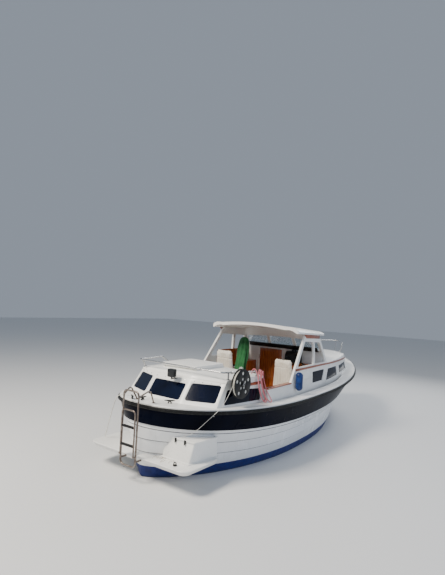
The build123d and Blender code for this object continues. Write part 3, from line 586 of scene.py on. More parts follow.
def arc(a, b, c, steps):
    """Points of the circle through three flat points, from the first to the last."""
    (ax, ay), (bx, by), (cx, cy) = a, b, c
    d = 2 * (ax * (by - cy) + bx * (cy - ay) + cx * (ay - by))
    ux = ((ax**2 + ay**2) * (by - cy) + (bx**2 + by**2) * (cy - ay) + (cx**2 + cy**2) * (ay - by)) / d
    uy = ((ax**2 + ay**2) * (cx - bx) + (bx**2 + by**2) * (ax - cx) + (cx**2 + cy**2) * (bx - ax)) / d
    start, end = atan2(ay - uy, ax - ux), atan2(cy - uy, cx - ux)
    turn = (end - start + pi) % (2 * pi) - pi
    radius = hypot(ax - ux, ay - uy)
    angles = [start + turn * i / steps for i in range(steps + 1)]
    return [(ux + radius * cos(t), uy + radius * sin(t)) for t in angles]


def inset_outline(points, d):
    """Corners of a convex outline, given anticlockwise, moved in by d."""
    moved = []
    for i, point in enumerate(points):
        before, here, after = Vector(points[i - 1]), Vector(point), Vector(points[(i + 1) % len(points)])
        a, b = (here - before).normalized(), (after - here).normalized()
        normal_a, normal_b = Vector((-a.y, a.x)), Vector((-b.y, b.x))
        moved.append(tuple(here + (normal_a + normal_b) * (d / (1 + normal_a.dot(normal_b)))))
    return moved


def round_corners(points, radius, steps=5, close=True):
    """Outline or route with its corners turned to arcs; radius may be a list, one for each corner."""
    spots = [Vector(p) for p in points]
    rounded = []
    for i, here in enumerate(spots):
        if not close and i in (0, len(spots) - 1):
            rounded.append(tuple(here))
            continue
        before, after = spots[i - 1], spots[(i + 1) % len(spots)]
        a, b = (before - here).normalized(), (after - here).normalized()
        half = a.angle(b) / 2
        bend = radius[i] if isinstance(radius, (list, tuple)) else radius
        back = min(bend / tan(half), 0.48 * min((before - here).length, (after - here).length))
        centre = here + (a + b).normalized() * (back / cos(half))
        start, end = here + a * back - centre, here + b * back - centre
        turns = [start.slerp(end, k / steps, start).normalized() for k in range(steps + 1)]
        rounded += [tuple(centre + turn * start.length) for turn in turns]
    return rounded


def dense(ring, cuts):
    """Closed ring with each side divided."""
    points = [Vector(p) for p in ring]
    sides = zip(points, points[1:] + points[:1])
    return [tuple(a.lerp(b, k / cuts)) for a, b in sides for k in range(cuts)]


def pipe(route, radius, bend=0, sides=14, steps=7):
    """Round tube along a route with arcs at its corners."""
    path = [Vector(p) for p in (round_corners(route, bend, steps, close=False) if bend else route)]
    ahead = (path[1] - path[0]).normalized()
    across = ahead.orthogonal().normalized()
    rings = []
    for i, spot in enumerate(path):
        a = (path[i] - path[i - 1]).normalized() if i else ahead
        b = (path[i + 1] - path[i]).normalized() if i < len(path) - 1 else a
        along = (a + b).normalized()
        across = (across - along * across.dot(along)).normalized()
        up = along.cross(across)
        turns = [2 * pi * k / sides for k in range(sides)]
        rings.append([tuple(spot + radius * (cos(t) * across + sin(t) * up)) for t in turns])
    return lofted(*rings)


def disc(centre, axis, radius, low, high, sides=32):
    """Short cylinder from low to high along an axis through the centre."""
    along = Vector(axis).normalized()
    start = Vector(centre) + along * low
    return pipe([start, start + along * (high - low)], radius, sides=sides)


def between(a, b, share):
    return a + (b - a) * share


upright, sideways, lengthways = (0, 0, 1), (0, 1, 0), (1, 0, 0)

# Sizes are millimetres from here on; the functions that make meshes turn them to metres.
seam = 0.3
# Reach of a cutter past either side of the boat, and forward of the fore cabin
abeam, fore_beyond = 1200, 3400
# Angles above which an edge stays sharp to the eye
pane_crease, tube_crease, soft_crease = 20, 45, 180

# Sheer line of the deck's upper face: x and z aft, amidships and at the bow
sheer_x, sheer_z = (-3130, -250, 4050), (1036, 929, 1214)

# Aft cabin: plan corners (x, half breadth) at two heights, walls, round top and roof
bulkhead_x = -1400
cabin_low, cabin_high = 900, 1400
cabin_plan_low = ((-2767, 348), (-2576, 868), (bulkhead_x, 930))
cabin_plan_high = ((-2401, 342), (-2201, 826), (bulkhead_x, 880))
cabin_wall = 32
# The form runs on forward of the bulkhead, and cutters reach aft of it
cabin_overrun, cabin_behind, facet_cuts, facet_reach = 400, -2800, 6, 70
crown_half = 1000
cabin_side_z, cabin_mid_z = 1280, 1332
roof_thick, roof_lip, roof_nose = 42, 4, 25
# Its windows: corner radius, gaps at the sides, below and above in each facet, and the side window as x, z
cabin_corner = 34
centre_gaps, corner_gaps = (38, 174, 183), (44, 180, 158)
cabin_side_window = ((-2370, 1010), (-1450, 975), (-1450, 1150), (-2255, 1210))
# Wooden strip: x of its aft end and z of its edges
cabin_strip, strip_thick = (-2130, 1214, 1258), 12
hatch_aft, hatch_right, hatch_left = -2120, -150, 570
hatch_low, hatch_thick, hatch_rim = 1395, 38, 18
# The lid starts further forward than the way, so that its aft edge clears the roof when it stands open
lid_play = 7

# House: the coaming, the wheelhouse and the fore cabin stand on one line
house_low, house_high = 900, 1130
house_bend_x, house_half, house_taper, house_lean = -620, 1020, 0.0335, 0.08
house_wall = 36
house_window = ((310, 1035), (790, 1035), (925, 1240), (330, 1240))
pane_corner = 22
# Blank of its pane: x and z from and to
house_pane_span = (250, 960, 1000, 1260)
# Wooden strip along it: x and z of its edges
strip_rows = ((-430, 1318, 1358), (960, 1318, 1352), (2790, 1294, 1326))
fore_x = 960
fore_side_z, fore_mid_z, fore_crown_half = 1319, 1425, 1100
fore_plan_low = ((1950, 890), (2880, 720), (3100, 470), (3190, 0))
fore_plan_high = ((1900, 820), (2780, 620), (2960, 410), (3040, 0))
fore_low, fore_high = 880, 1450
fore_windows = (
    ((985, 1005), (1705, 1040), (1705, 1232), (1120, 1230)),
    ((1890, 1060), (2690, 1075), (2650, 1240), (1925, 1222)),
)
fore_pane_corner, fore_lining = 26, 34
fore_hatch_x, fore_hatch_way, fore_hatch_rim = 2080, 230, 255

# Wheelhouse: z, x aft, x fore, half breadth aft, half breadth fore
frame_foot = (1131, -620, 1240, 1000, 938)
frame_head = (1980, 46, 705, 932, 870)
frame_wall = 38
# Panes of all the cabins: how deep they sit, how thick they are and their gap all round
glass_depth, glass_thick, pane_play = 14, 6, 0.5
side_windows = (
    ((-336, 1375), (385, 1375), (385, 1790), (-6, 1815)),
    ((445, 1375), (985, 1375), (750, 1765), (445, 1786)),
)
middle_pane = ((-270, 1600), (270, 1600), (262, 1805), (-262, 1805))
outer_pane = ((330, 1600), (836, 1578), (812, 1775), (322, 1798))
# Where the windscreen's cutters run along x, and what is cut off above the walls: x from and to, and its top
windscreen_span, above_span = (600, 1500), (-900, 2000, 2400)

# Hardtop: x, half breadth, z of the sides' top, of the shoulders and of the crown
top_rows = ((-312, 963, 1990, 2060, 2103), (960, 905, 1925, 1965, 2012))
top_shoulder, top_knee, top_lip_deep, top_lip, top_thick, top_corner = 230, 62, 32, 48, 52, 62
top_knee_up, top_board_deep, top_board_thick = 0.70, 70, 14

# Roof rail: corners and feet, x, y, z
rail_route = (
    (-1600, 850, 1340), (-1830, 850, 1470), (-2395, 790, 1470),
    (-2320, -790, 1450), (-1535, -858, 1404), (-1500, -858, 1335),
)
rail_posts = (((-2250, 800, 1345), (-2335, 796, 1470)), ((-2185, -802, 1345), (-2185, -802, 1442)))
tube_radius, rail_bend, rail_foot = 12.5, 45, 26

# Bow rail, starboard side from the deck up, and its post amidships
pulpit_route = (
    (3905, -50, 1192), (3845, -60, 1300), (3230, -385, 1430), (3080, -480, 1615), (3885, -72, 1615),
)
pulpit_post_x, pulpit_post_top, pulpit_bend, pulpit_foot = 3850, (3881, 0, 1612), 42, 28

# Swim platform, locker and ladder
plat_aft, plat_fore, plat_half, plat_gap = -3179, -2423, 928, 46
plat_top, plat_thick, plat_corner, plat_taper = 330, 66, 140, 46
locker_low = ((-2930, -300), (-2930, -775), (-2420, -860), (-2420, -300))
locker_high = ((-2885, -290), (-2885, -815), (-2430, -855), (-2430, -290))
locker_top, lid_thick, lid_lip = 590, 22, 9
ladder_x, ladder_half, ladder_top, ladder_low = -3262, 143, 1198, 217
# Its folding part, and the ribs on each tread
fold_x, fold_half, fold_top, fold_radius, ladder_hinge = -3290, 126, 950, 11, 360
tread_z, tread_aft, tread_fore, tread_half = (490, 730), 12, 26, 13
tread_ribs, tread_pitch, rib_wide = 17, 12, 5
# Brackets and stays that hold the ladder, port side: foot on the deck and knee of the stay
ladder_bracket_low, ladder_bracket_high, ladder_bend, fold_bend = 296, 1130, 60, 50
ladder_foot, ladder_knee, ladder_foot_radius = (-3000, 160), (-3105, 190, 1215), 24

# Line reel, on the axis of its joint; holes as circle radius and hole radius
reel_x, reel_y, reel_z, reel_radius, reel_half = -2105, -975, 1300, 208, 30
reel_holes, reel_spokes = ((66, 20), (148, 25)), 5
# Its carrier's bar, arm and foot: half width, then y and z from and to
carrier_bars = ((24, -925, -916, 1268, 1452), (13, -920, -822, 1430, 1448), (22, -920, -858, 1312, 1336))
clamp_half, clamp_aft, clamp_fore, clamp_radius = 22, (-809, 1438), (-812, 1436), 22
flange_half, hub_radius, hub_half, hub_bore, spindle_radius, nut_radius = 4, 40, 34, 13, 11.5, 22
winding_radius, winding_turns, winding_groove, winding_step, winding_cuts = 186, 9, 0.985, 2.5, 48

# Cleats: x, y and turn in degrees, and half of their outline as across, up
cleats = ((-3060, 200, 55), (-2985, 70, 8), (-2820, -290, -55), (3330, 300, -12), (3330, -300, 12))
cleat_outline = (
    (0, 46), (40, 46), (76, 42), (75, 35), (20, 27), (18, 19), (27, 12), (30, 0), (9, 0), (7, 22), (0, 22),
)
cleat_half, cleat_foot = 11, 30

# Floodlight: its housing, the ribs on its back, and the stirrup and arm that carry it
lamp_centre, lamp_size = (-2590, -90, 1385), (62, 122, 112)
lamp_ribs, lamp_rib_pitch, lamp_rib_deep, lamp_rib_tall = 9, 12, 14, 42
stirrup_half, stirrup_gap, arm_half, arm_long, arm_low, arm_high = 11, 9, 8, 130, 1290, 1304

# Fore bulkhead and its door
plate_aft, plate_fore, plate_top = 936, 959.5, 1560
door_right, door_left, door_low, door_high = 20, 560, 405, 1520
door_play, door_panel, door_stile, door_rail, door_middle = 3, 9, 68, 70, (860, 925)
knob_in, knob_z, knob_radius = 42, 1010, 26
# The hinges stand clear of the leaf, which turns past them
hinge_out, hinge_half, hinge_levels = 8, 38, (560, 1330)
jamb_wide, jamb_thick = 40, 9

# Hood below the windscreen, and how deep it is at its foot and top
visor_low, visor_high, visor_half, visor_foot, visor_head = 1556, 1640, 800, 46, 30

# Cockpit liner with its shelf, and the board along the port side: x of its sections, z from and to
liner_half, liner_thick, sole_z, shelf_z, shelf_thick = 905, 12, 376, 1105, 20
board_sections, board_low, board_high, board_thick = (-130, 400, 925), 1140, 1490, 12

# Instrument pod: side outline as x, z, its ends, and dials as y and radius
pod_side, pod_ends = ((716, 1301), (738, 1452), (790, 1524), (905, 1524), (905, 1301)), (-462, -150)
dial_x, dial_z, dials = 729, 1392, ((-250, 42), (-360, 42), (-428, 22), (-185, 22))
switch_spot, switch_axis, switch_count, switch_pitch = (762, -430, 1485), (-0.81, 0, 0.585), 6, 50
compass_spot, compass_radius, compass_high = (840, -306, 1524), 48, 34

# Seats: x, y and the back's top; half widths of the back at its foot and top, its depth and tilt
seats = (("helm", 60, -530, 1448), ("mate", -330, 535, 1535))
back_low, back_wide, back_narrow, back_deep, back_tilt = 862, 225, 165, 74, 0.09
back_aft, back_corner, back_head = 42, 22, 150
# Share of the back's height, and how much narrower and thinner it is there
back_sections = ((0, 18, 16), (0.08, 0, 0), (0.5, 0, 0), (0.93, 0, 0), (1, 18, 16))
pan_half, pan_from, pan_to, pan_corner, pan_inset, pan_levels = 215, 20, 452, 60, 18, (851, 866, 926, 944)
# Their sewn channels, in metres: pitch, count, half width and how much they close in up the back
back_seams, pan_seams = (0.062, 6, 0.007, 0.5), (0.07, 5, 0.008)
# Cloth steps of the padding, and how far it may swell in metres
swell_steps, most_swell = 12, 0.016

# Ropes, in metres: each row is a control point
stay_route = (
    (-2.930, 0.400, 1.034), (-2.962, 0.440, 1.040), (-3.012, 0.505, 1.036), (-3.040, 0.545, 1.000),
    (-3.032, 0.600, 0.900), (-3.000, 0.690, 0.720), (-2.965, 0.780, 0.540), (-2.935, 0.860, 0.380),
    (-2.930, 0.875, 0.339))
reel_line_route = (
    (-2.297, -0.972, 1.330), (-2.302, -0.968, 1.290), (-2.312, -0.948, 1.235), (-2.420, -0.960, 1.128),
    (-2.560, -0.962, 1.014), (-2.655, -0.842, 0.866), (-2.750, -0.722, 0.712), (-2.815, -0.636, 0.652),
    (-2.870, -0.560, 0.6195))
coil_route = (
    (-1.930, -0.836, 1.447), (-1.915, -0.846, 1.450), (-1.899, -0.853, 1.462), (-1.898, -0.857, 1.480),
    (-1.908, -0.860, 1.494), (-1.930, -0.862, 1.500), (-1.952, -0.858, 1.494), (-1.961, -0.852, 1.477),
    (-1.956, -0.846, 1.461), (-1.938, -0.840, 1.456), (-1.912, -0.838, 1.462), (-1.898, -0.838, 1.478),
    (-1.904, -0.841, 1.495), (-1.926, -0.844, 1.505), (-1.953, -0.842, 1.500), (-1.970, -0.838, 1.482),
    (-1.968, -0.834, 1.462), (-1.955, -0.834, 1.448))
hank_route = (
    (-1.580, -0.816, 1.366), (-1.580, -0.817, 1.412), (-1.578, -0.838, 1.446), (-1.575, -0.872, 1.447),
    (-1.568, -0.897, 1.412), (-1.556, -0.915, 1.340), (-1.546, -0.926, 1.240), (-1.536, -0.945, 1.140),
    (-1.526, -0.972, 1.050), (-1.518, -0.992, 1.004), (-1.502, -1.004, 0.978), (-1.470, -1.006, 0.977),
    (-1.448, -0.998, 1.008), (-1.442, -0.975, 1.060), (-1.450, -0.945, 1.150), (-1.464, -0.926, 1.250),
    (-1.474, -0.916, 1.340), (-1.482, -0.914, 1.400), (-1.494, -0.914, 1.438), (-1.532, -0.918, 1.442),
    (-1.556, -0.927, 1.402), (-1.577, -0.937, 1.340), (-1.580, -0.940, 1.240), (-1.576, -0.960, 1.140),
    (-1.570, -0.992, 1.060), (-1.562, -1.020, 1.002), (-1.540, -1.040, 0.970), (-1.502, -1.046, 0.966),
    (-1.476, -1.034, 0.996), (-1.470, -1.008, 1.052), (-1.474, -0.972, 1.140), (-1.482, -0.946, 1.240),
    (-1.490, -0.934, 1.340), (-1.492, -0.937, 1.394), (-1.504, -0.940, 1.430), (-1.540, -0.944, 1.432),
    (-1.562, -0.950, 1.392), (-1.550, -0.958, 1.326), (-1.528, -0.964, 1.230), (-1.512, -0.986, 1.120),
    (-1.500, -1.020, 1.048), (-1.482, -1.060, 0.998), (-1.450, -1.086, 0.967), (-1.412, -1.090, 0.961),
    (-1.388, -1.078, 0.976), (-1.386, -1.055, 1.012), (-1.404, -1.022, 1.072), (-1.424, -0.986, 1.150),
    (-1.440, -0.962, 1.240), (-1.452, -0.950, 1.330), (-1.460, -0.948, 1.385), (-1.478, -0.954, 1.418),
    (-1.506, -0.963, 1.416), (-1.528, -0.968, 1.388), (-1.534, -0.972, 1.330))

# Canvas cover hung from the hardtop: z, lean to port, half width across, half depth, how deep its folds are
canvas_x, canvas_y, canvas_count = 290, 552, 72
canvas_rings = (
    (1765, 0, 34, 16, 0.10), (1735, 0, 78, 34, 0.16), (1680, 4, 98, 44, 0.20), (1560, 16, 116, 50, 0.22),
    (1400, 38, 124, 54, 0.24), (1240, 62, 122, 58, 0.26), (1100, 80, 114, 60, 0.28),
    (1012, 90, 108, 60, 0.30),
)
# Its folds: how many round it, the drop in which they drift round by a radian, and their share
canvas_waves = ((7, 300, 0.6), (11, -190, 0.4))
canvas_tie_low, canvas_tie_top = 1.760, 1.965

# Press studs of the aft cabin's cover: y of each, and their height
stud_rows, stud_z = (-760, -640, -520, -400, -240, 0, 120, 300, 480, 640, 760), 1291

# Locker latches: x, y and turn in degrees; their tongue, hasp and head as slabs about their place
latches = ((-2898, -665, 0), (-2480, -826, 90), (-2896, -500, 0))
bollard, bollard_radius = (-3066, -660), 26
latch_parts = ((-9, 5, -12, 12, -40, 6), (-14, -9, -8, 8, -52, -18), (-7, 3, -16, 16, 2, 9))

# Dead leaves: how many fall, their middle and spread along x and y, and the dry patch that keeps them
leaf_count, leaf_x, leaf_y, leaf_spread_x, leaf_spread_y = 70, -2985, -395, 42, 95
leaf_patch = (-3150, -2950, -560, -120)


def deck_z(x):
    """Height of the deck's upper face."""
    end = 0 if x < sheer_x[1] else 2
    return sheer_z[1] + (sheer_z[end] - sheer_z[1]) * ((x - sheer_x[1]) / (sheer_x[end] - sheer_x[1])) ** 2


def crown_z(half, side_z, mid_z, y):
    """Height at y of a round top that is side_z high at half and mid_z on the centreline."""
    rise = mid_z - side_z
    radius = (half**2 + rise**2) / (2 * rise)
    return mid_z - radius + (radius**2 - y**2) ** 0.5


def crown(x0, x1, side_z, mid_z, floor, half=crown_half):
    """Prism along x, flat below and rounded above."""
    ys = [half * (1 - 2 * i / 24) for i in range(25)]
    outline = [(y, crown_z(half, side_z, mid_z, y)) for y in ys]
    return prism(outline + [(-half, floor), (half, floor)], "x", x0, x1)


def roof_z(y):
    """Height of the aft cabin's roof at y."""
    return crown_z(crown_half, cabin_side_z + roof_thick, cabin_mid_z + roof_thick, y)


def house_y(x, z):
    """Half breadth of the house's outer skin."""
    return house_half - max(0, x - house_bend_x) * house_taper - (z - fore_low) * house_lean


def top_row(x):
    """Half breadth and heights of the hardtop at x."""
    share = (x - top_rows[0][0]) / (top_rows[1][0] - top_rows[0][0])
    return [between(a, b, share) for a, b in zip(top_rows[0][1:], top_rows[1][1:])]


def lip_floor(x):
    """Height of the hardtop's lower edge."""
    return top_row(x)[1] - top_lip_deep


def cabin_body(inset):
    """The aft cabin's form, inset from its skin; its twisted corner facets are divided finely."""
    plans = []
    for plan in (cabin_plan_low, cabin_plan_high):
        (x0, y0), (x1, y1) = plan[-2:]
        end = (x1 + cabin_overrun, y1 + (y1 - y0) / (x1 - x0) * cabin_overrun)
        points = [*plan[:-1], end]
        outline = [(x, -y) for x, y in points] + [(x, y) for x, y in reversed(points)]
        plans.append(dense(inset_outline(outline, inset), facet_cuts))
    rings = []
    for i in range(facet_cuts + 1):
        share = i / facet_cuts
        z = between(cabin_low, cabin_high, share)
        rings.append([(between(ax, bx, share), between(ay, by, share), z)
                      for (ax, ay), (bx, by) in zip(*plans)])
    return lofted(*rings)


def facet_window(low0, low1, high0, high1, gaps, shrink):
    """Prism for a window in the facet between two low and two high corners."""
    side_gap, low_gap, high_gap = [gap + shrink for gap in gaps]
    low0, low1, high0, high1 = [Vector(p) for p in (low0, low1, high0, high1)]
    middle = (low0 + low1 + high0 + high1) / 4
    along = (low1 - low0).normalized()
    out = along.cross((high0 + high1) - (low0 + low1)).normalized()
    up = out.cross(along)
    corners = [((p - middle).dot(along), (p - middle).dot(up)) for p in (low0, low1, high1, high0)]
    rise = corners[2][1] - corners[1][1]

    def at(a, b, share, gap):
        return (between(a[0], b[0], share) + gap, between(a[1], b[1], share))

    low_share, high_share = low_gap / rise, 1 - high_gap / rise
    left, right = (corners[0], corners[3]), (corners[1], corners[2])
    points = [at(*left, low_share, side_gap), at(*right, low_share, -side_gap),
              at(*right, high_share, -side_gap), at(*left, high_share, side_gap)]
    outline = round_corners(points, cabin_corner)
    return lofted(*[[tuple(middle + x * along + y * up + d * out) for x, y in outline]
                    for d in (-facet_reach, facet_reach)])


def window_prism(corners, shrink, radius, axis="y", low=-abeam, high=abeam):
    """Cutter for a window with round corners, smaller by `shrink` all round."""
    return prism(round_corners(inset_outline(corners, shrink), radius), axis, low, high)


def cabin_windows(shrink=0.0):
    """Cutters of the aft cabin's windows: aft middle, both corners, both sides."""
    low = [(x, y, cabin_low) for x, y in cabin_plan_low]
    high = [(x, y, cabin_high) for x, y in cabin_plan_high]
    low_right, high_right = [(x, -y, z) for x, y, z in (low[0], high[0])]
    middle = facet_window(low[0], low_right, high[0], high_right, centre_gaps, shrink)
    corner = facet_window(low[1], low[0], high[1], high[0], corner_gaps, shrink)
    return [middle, both_sides(corner), window_prism(cabin_side_window, shrink, cabin_corner)]


def fore_ring(inset, z, aft=0.0):
    """Plan of the fore cabin at a height, port side from aft, then starboard back."""
    share = (z - fore_low) / (fore_high - fore_low)
    plans = []
    for plan, level in ((fore_plan_low, fore_low), (fore_plan_high, fore_high)):
        (x1, y1), (x2, y2), (x3, y3), (x4, _) = plan
        first = (fore_x, house_y(fore_x, level) - inset)
        second = (x2 - inset / 2, y2 - inset)
        port = arc(first, (x1, y1 - inset), second, 12)
        plans.append(port + arc(second, (x3 - inset, y3 - inset), (x4 - inset, 0), 6)[1:])
    port = [(between(ax, bx, share), between(ay, by, share)) for (ax, ay), (bx, by) in zip(*plans)]
    port = [(fore_x - aft, port[0][1])] + port if aft else port
    return [(x, -y, z) for x, y in port[:-1]] + [(*port[-1], z)] + [(x, y, z) for x, y in reversed(port[:-1])]


def fore_body(inset, aft=0.0):
    """The fore cabin's form, inset from its skin."""
    return lofted(*[fore_ring(inset, z, aft) for z in (fore_low, (fore_low + fore_high) / 2, fore_high)])


def frame_ring(row, outer, inner, aft_out=0.0):
    """Plan of the wheelhouse's walls: a U that is open aft, between two insets from its outer skin."""
    z, x_aft, x_fore, half_aft, half_fore = row
    slope = (half_fore - half_aft) / (x_fore - x_aft)
    corners = []
    for inset in (outer, inner):
        x_end = x_aft + outer - aft_out
        corners.append(((x_end, half_aft + slope * (x_end - x_aft) - inset),
                        (x_fore - inset, half_fore - slope * inset - inset)))
    (aft, fore), (aft_in, fore_in) = corners
    return [(aft[0], -aft[1], z), (fore[0], -fore[1], z), (fore[0], fore[1], z), (aft[0], aft[1], z),
            (aft_in[0], aft_in[1], z), (fore_in[0], fore_in[1], z), (fore_in[0], -fore_in[1], z),
            (aft_in[0], -aft_in[1], z)]


def frame_walls(outer, inner, aft_out=0.0):
    """The wheelhouse's walls, from foot to head."""
    return lofted(*[frame_ring(row, outer, inner, aft_out) for row in (frame_foot, frame_head)])


def frame_y(x, z):
    """Half breadth of the wheelhouse's skin."""
    share = (z - frame_foot[0]) / (frame_head[0] - frame_foot[0])
    rows = zip(frame_foot[1:], frame_head[1:])
    x_aft, x_fore, half_aft, half_fore = [between(foot, head, share) for foot, head in rows]
    return between(half_aft, half_fore, (x - x_aft) / (x_fore - x_aft))


def skin_y(x, z):
    """Half breadth of the wheelhouse, and forward of it of the fore cabin."""
    if x < fore_x:
        return frame_y(x, z)
    port = sorted((px, py) for px, py, _ in fore_ring(0, z) if py > 0)
    for (ax, ay), (bx, by) in zip(port, port[1:]):
        if ax <= x <= bx:
            return between(ay, by, (x - ax) / (bx - ax))
    return port[0][1] if x < port[0][0] else 0


def top_section(x, inset, drop, floor):
    """Outline of the hardtop at x: a flat crown with round shoulders over straight sides."""
    half, edge, shoulder_z, mid = top_row(x)
    half, mid, shoulder_z = half - inset, mid - drop, shoulder_z - drop
    edge -= min(drop, top_lip_deep)
    shoulder = half - top_shoulder
    knee = (half - top_knee, between(edge, shoulder_z, top_knee_up))
    port = arc((half, edge), knee, (shoulder, shoulder_z), 8)
    middle = arc((shoulder, shoulder_z), (0, mid), (-shoulder, shoulder_z), 14)
    outline = port + middle[1:] + [(-y, z) for y, z in reversed(port[:-1])]
    return [(x, y, z) for y, z in [*outline, (-half, floor), (half, floor)]]


def top_inside(deeper=0, reach=100, floor=fore_low):
    """All that lies under the hardtop's lining, or as much deeper into it."""
    ends = (top_rows[0][0] - reach, top_rows[1][0] + reach)
    return lofted(*[top_section(x, top_lip - deeper, top_thick - deeper, floor) for x in ends])


def build_aft_cabin(finish):
    """Walls with their windows, the roof with its hatchway, and the hatch's lid."""
    walls = carve(cabin_body(0), cabin_body(cabin_wall))
    under_roof = crown(cabin_behind, bulkhead_x, cabin_side_z, cabin_mid_z, cabin_low - 100)
    walls = carve(walls, under_roof, "INTERSECT")
    skin = carve(cabin_body(glass_depth), cabin_body(glass_depth + glass_thick))
    panes = []
    for window, pane in zip(cabin_windows(), cabin_windows(pane_play)):
        walls = carve(walls, window)
        panes.append(carve(skin.copy(), pane, "INTERSECT"))
    piece("cabin_walls", round_edges(walls, 4), finish["deck"], instead_of=("aft_cabin",))
    piece("cabin_panes", together(*panes), finish["acrylic"], instead_of=("aft_cabin_glass",),
          crease=pane_crease)

    top, nose = roof_thick + seam, bulkhead_x + roof_nose
    whole = crown(cabin_behind, nose, cabin_side_z + top, cabin_mid_z + top, cabin_low + 100)
    below = crown(cabin_behind - 100, nose + 50, cabin_side_z + seam, cabin_mid_z + seam, cabin_low,
                  crown_half + 50)
    roof = carve(carve(cabin_body(-roof_lip), whole, "INTERSECT"), below)
    way_aft, way_right, way_left = hatch_aft + 60, hatch_right + 30, hatch_left - 30
    rim = slab(way_aft - hatch_rim, bulkhead_x + 20, way_right - hatch_rim, way_left + hatch_rim,
               1340, hatch_low)
    way = slab(way_aft, bulkhead_x + 100, way_right, way_left, 1200, 1500)
    roof = carve(carve(roof, rim, "UNION"), way)
    piece("cabin_roof", round_edges(roof, 9, 3), finish["deck"], instead_of=("aft_cabin_roof",))

    lid_aft, lid_fore = hatch_aft + lid_play, bulkhead_x + 10
    outline = round_corners(rectangle(lid_aft, lid_fore, hatch_right, hatch_left), 45)
    lid = prism(outline, "z", hatch_low + seam, hatch_low + hatch_thick)
    piece("hatch_lid", round_edges(lid, 10, 3), finish["deck"], "aft_hatch", ("aft_hatch",))


def build_house(finish):
    """Sides of the house, walls of the wheelhouse, and the panes of both."""
    sides = []
    xs = (bulkhead_x + seam, house_bend_x, fore_x - seam)
    for inset in (0, house_wall):
        sides.append([[(x, house_y(x, z) - inset, z) for x in xs] for z in (house_low, house_high)])
    side = lofted(*[outer + list(reversed(inner)) for outer, inner in zip(*sides)])
    # The side turns in at the bulkhead
    corners = ((bulkhead_x + seam, 0), (bulkhead_x + house_wall, 0),
               (bulkhead_x + house_wall, 1), (bulkhead_x + seam, 1))
    returned = lofted(*[[(x, house_y(bulkhead_x, z) - 10 if out else inner, z) for x, out in corners]
                        for inner, z in ((922, house_low), (892, house_high))])
    coaming = carve(both_sides(side), both_sides(returned), "UNION")
    coaming = carve(coaming, window_prism(house_window, 0, pane_corner))
    piece("house_sides", round_edges(coaming, 3), finish["deck"], instead_of=("coaming",))

    walls = carve(frame_walls(0, frame_wall), window_prism(house_window, 0, pane_corner))
    glass = frame_walls(glass_depth, glass_depth + glass_thick, 100)
    panes = []
    fore_panes = (middle_pane, outer_pane, [(-y, z) for y, z in reversed(outer_pane)])
    for windows, span in ((side_windows, ("y", -abeam, abeam)), (fore_panes, ("x", *windscreen_span))):
        ways = [window_prism(corners, 0, pane_corner, *span) for corners in windows]
        walls = carve(walls, together(*ways))
        lights = [window_prism(corners, pane_play, pane_corner, *span) for corners in windows]
        panes.append(carve(glass.copy(), together(*lights), "INTERSECT"))
    # The walls end inside the hardtop, and stand on the fore cabin's round top
    x0, x1, high = above_span
    above = prism([(x0, lip_floor(x0)), (x1, lip_floor(x1)), (x1, high), (x0, high)], "y", -1100, 1100)
    walls = carve(walls, carve(above, top_inside(20, 200, 1000)))
    fore_top = crown(fore_x - seam, fore_beyond, fore_side_z + seam, fore_mid_z + seam, 500, fore_crown_half)
    walls = carve(walls, fore_top)
    piece("wheelhouse_walls", round_edges(walls, 5, 3), finish["deck"], instead_of=("wheelhouse_frame",))

    corners = rectangle(*house_pane_span[:2], glass_depth, glass_depth + glass_thick)
    skin = lofted(*[[(x, house_y(x, z) - inset, z) for x, inset in corners] for z in house_pane_span[2:]])
    low_pane = carve(both_sides(skin), window_prism(house_window, pane_play, pane_corner), "INTERSECT")
    piece("house_panes", low_pane, finish["acrylic"], crease=pane_crease)
    piece("wheelhouse_panes", together(*panes), finish["glass"], instead_of=("wheelhouse_glass",),
          crease=pane_crease)


def build_fore_cabin(finish):
    """Shell with its round top and hatchway, and its panes."""
    top = crown(fore_x - 100, fore_beyond, fore_side_z, fore_mid_z, 800, fore_crown_half)
    side_z, mid_z = fore_side_z - fore_lining, fore_mid_z - fore_lining
    lining = crown(fore_x - 260, fore_beyond, side_z, mid_z, 700, fore_crown_half)
    body = carve(fore_body(0), top, "INTERSECT")
    cabin = carve(body, carve(fore_body(house_wall, 60), lining, "INTERSECT"))
    glass = carve(fore_body(glass_depth), fore_body(glass_depth + glass_thick, 60))
    panes = []
    for corners in fore_windows:
        cabin = carve(cabin, window_prism(corners, 0, fore_pane_corner))
        pane = window_prism(corners, pane_play, fore_pane_corner)
        panes.append(carve(glass.copy(), pane, "INTERSECT"))
    x, way, rim = fore_hatch_x, fore_hatch_way, fore_hatch_rim
    cabin = carve(cabin, slab(x - rim, x + rim, -rim, rim, 1395, 1440), "UNION")
    cabin = carve(cabin, slab(x - way, x + way, -way, way, 1300, 1600))
    piece("fore_cabin_shell", round_edges(cabin, 7, 3), finish["deck"], instead_of=("fore_cabin",))
    piece("fore_cabin_panes", together(*panes), finish["acrylic"], instead_of=("fore_cabin_glass",),
          crease=pane_crease)


def build_strips(finish):
    """Wooden rubbing strips along the house, the fore cabin and the aft cabin."""
    house = lofted(*[strip_ring(x, low, high) for x, low, high in strip_stations()])
    x0, low, high = cabin_strip
    skin = carve(cabin_body(-strip_thick), cabin_body(-seam))
    cabin = carve(skin, slab(x0, bulkhead_x, 700, abeam, low, high), "INTERSECT")
    piece("mahogany_strips", round_edges(both_sides(together(house, cabin)), 3), finish["mahogany"],
          instead_of=("handrails",))


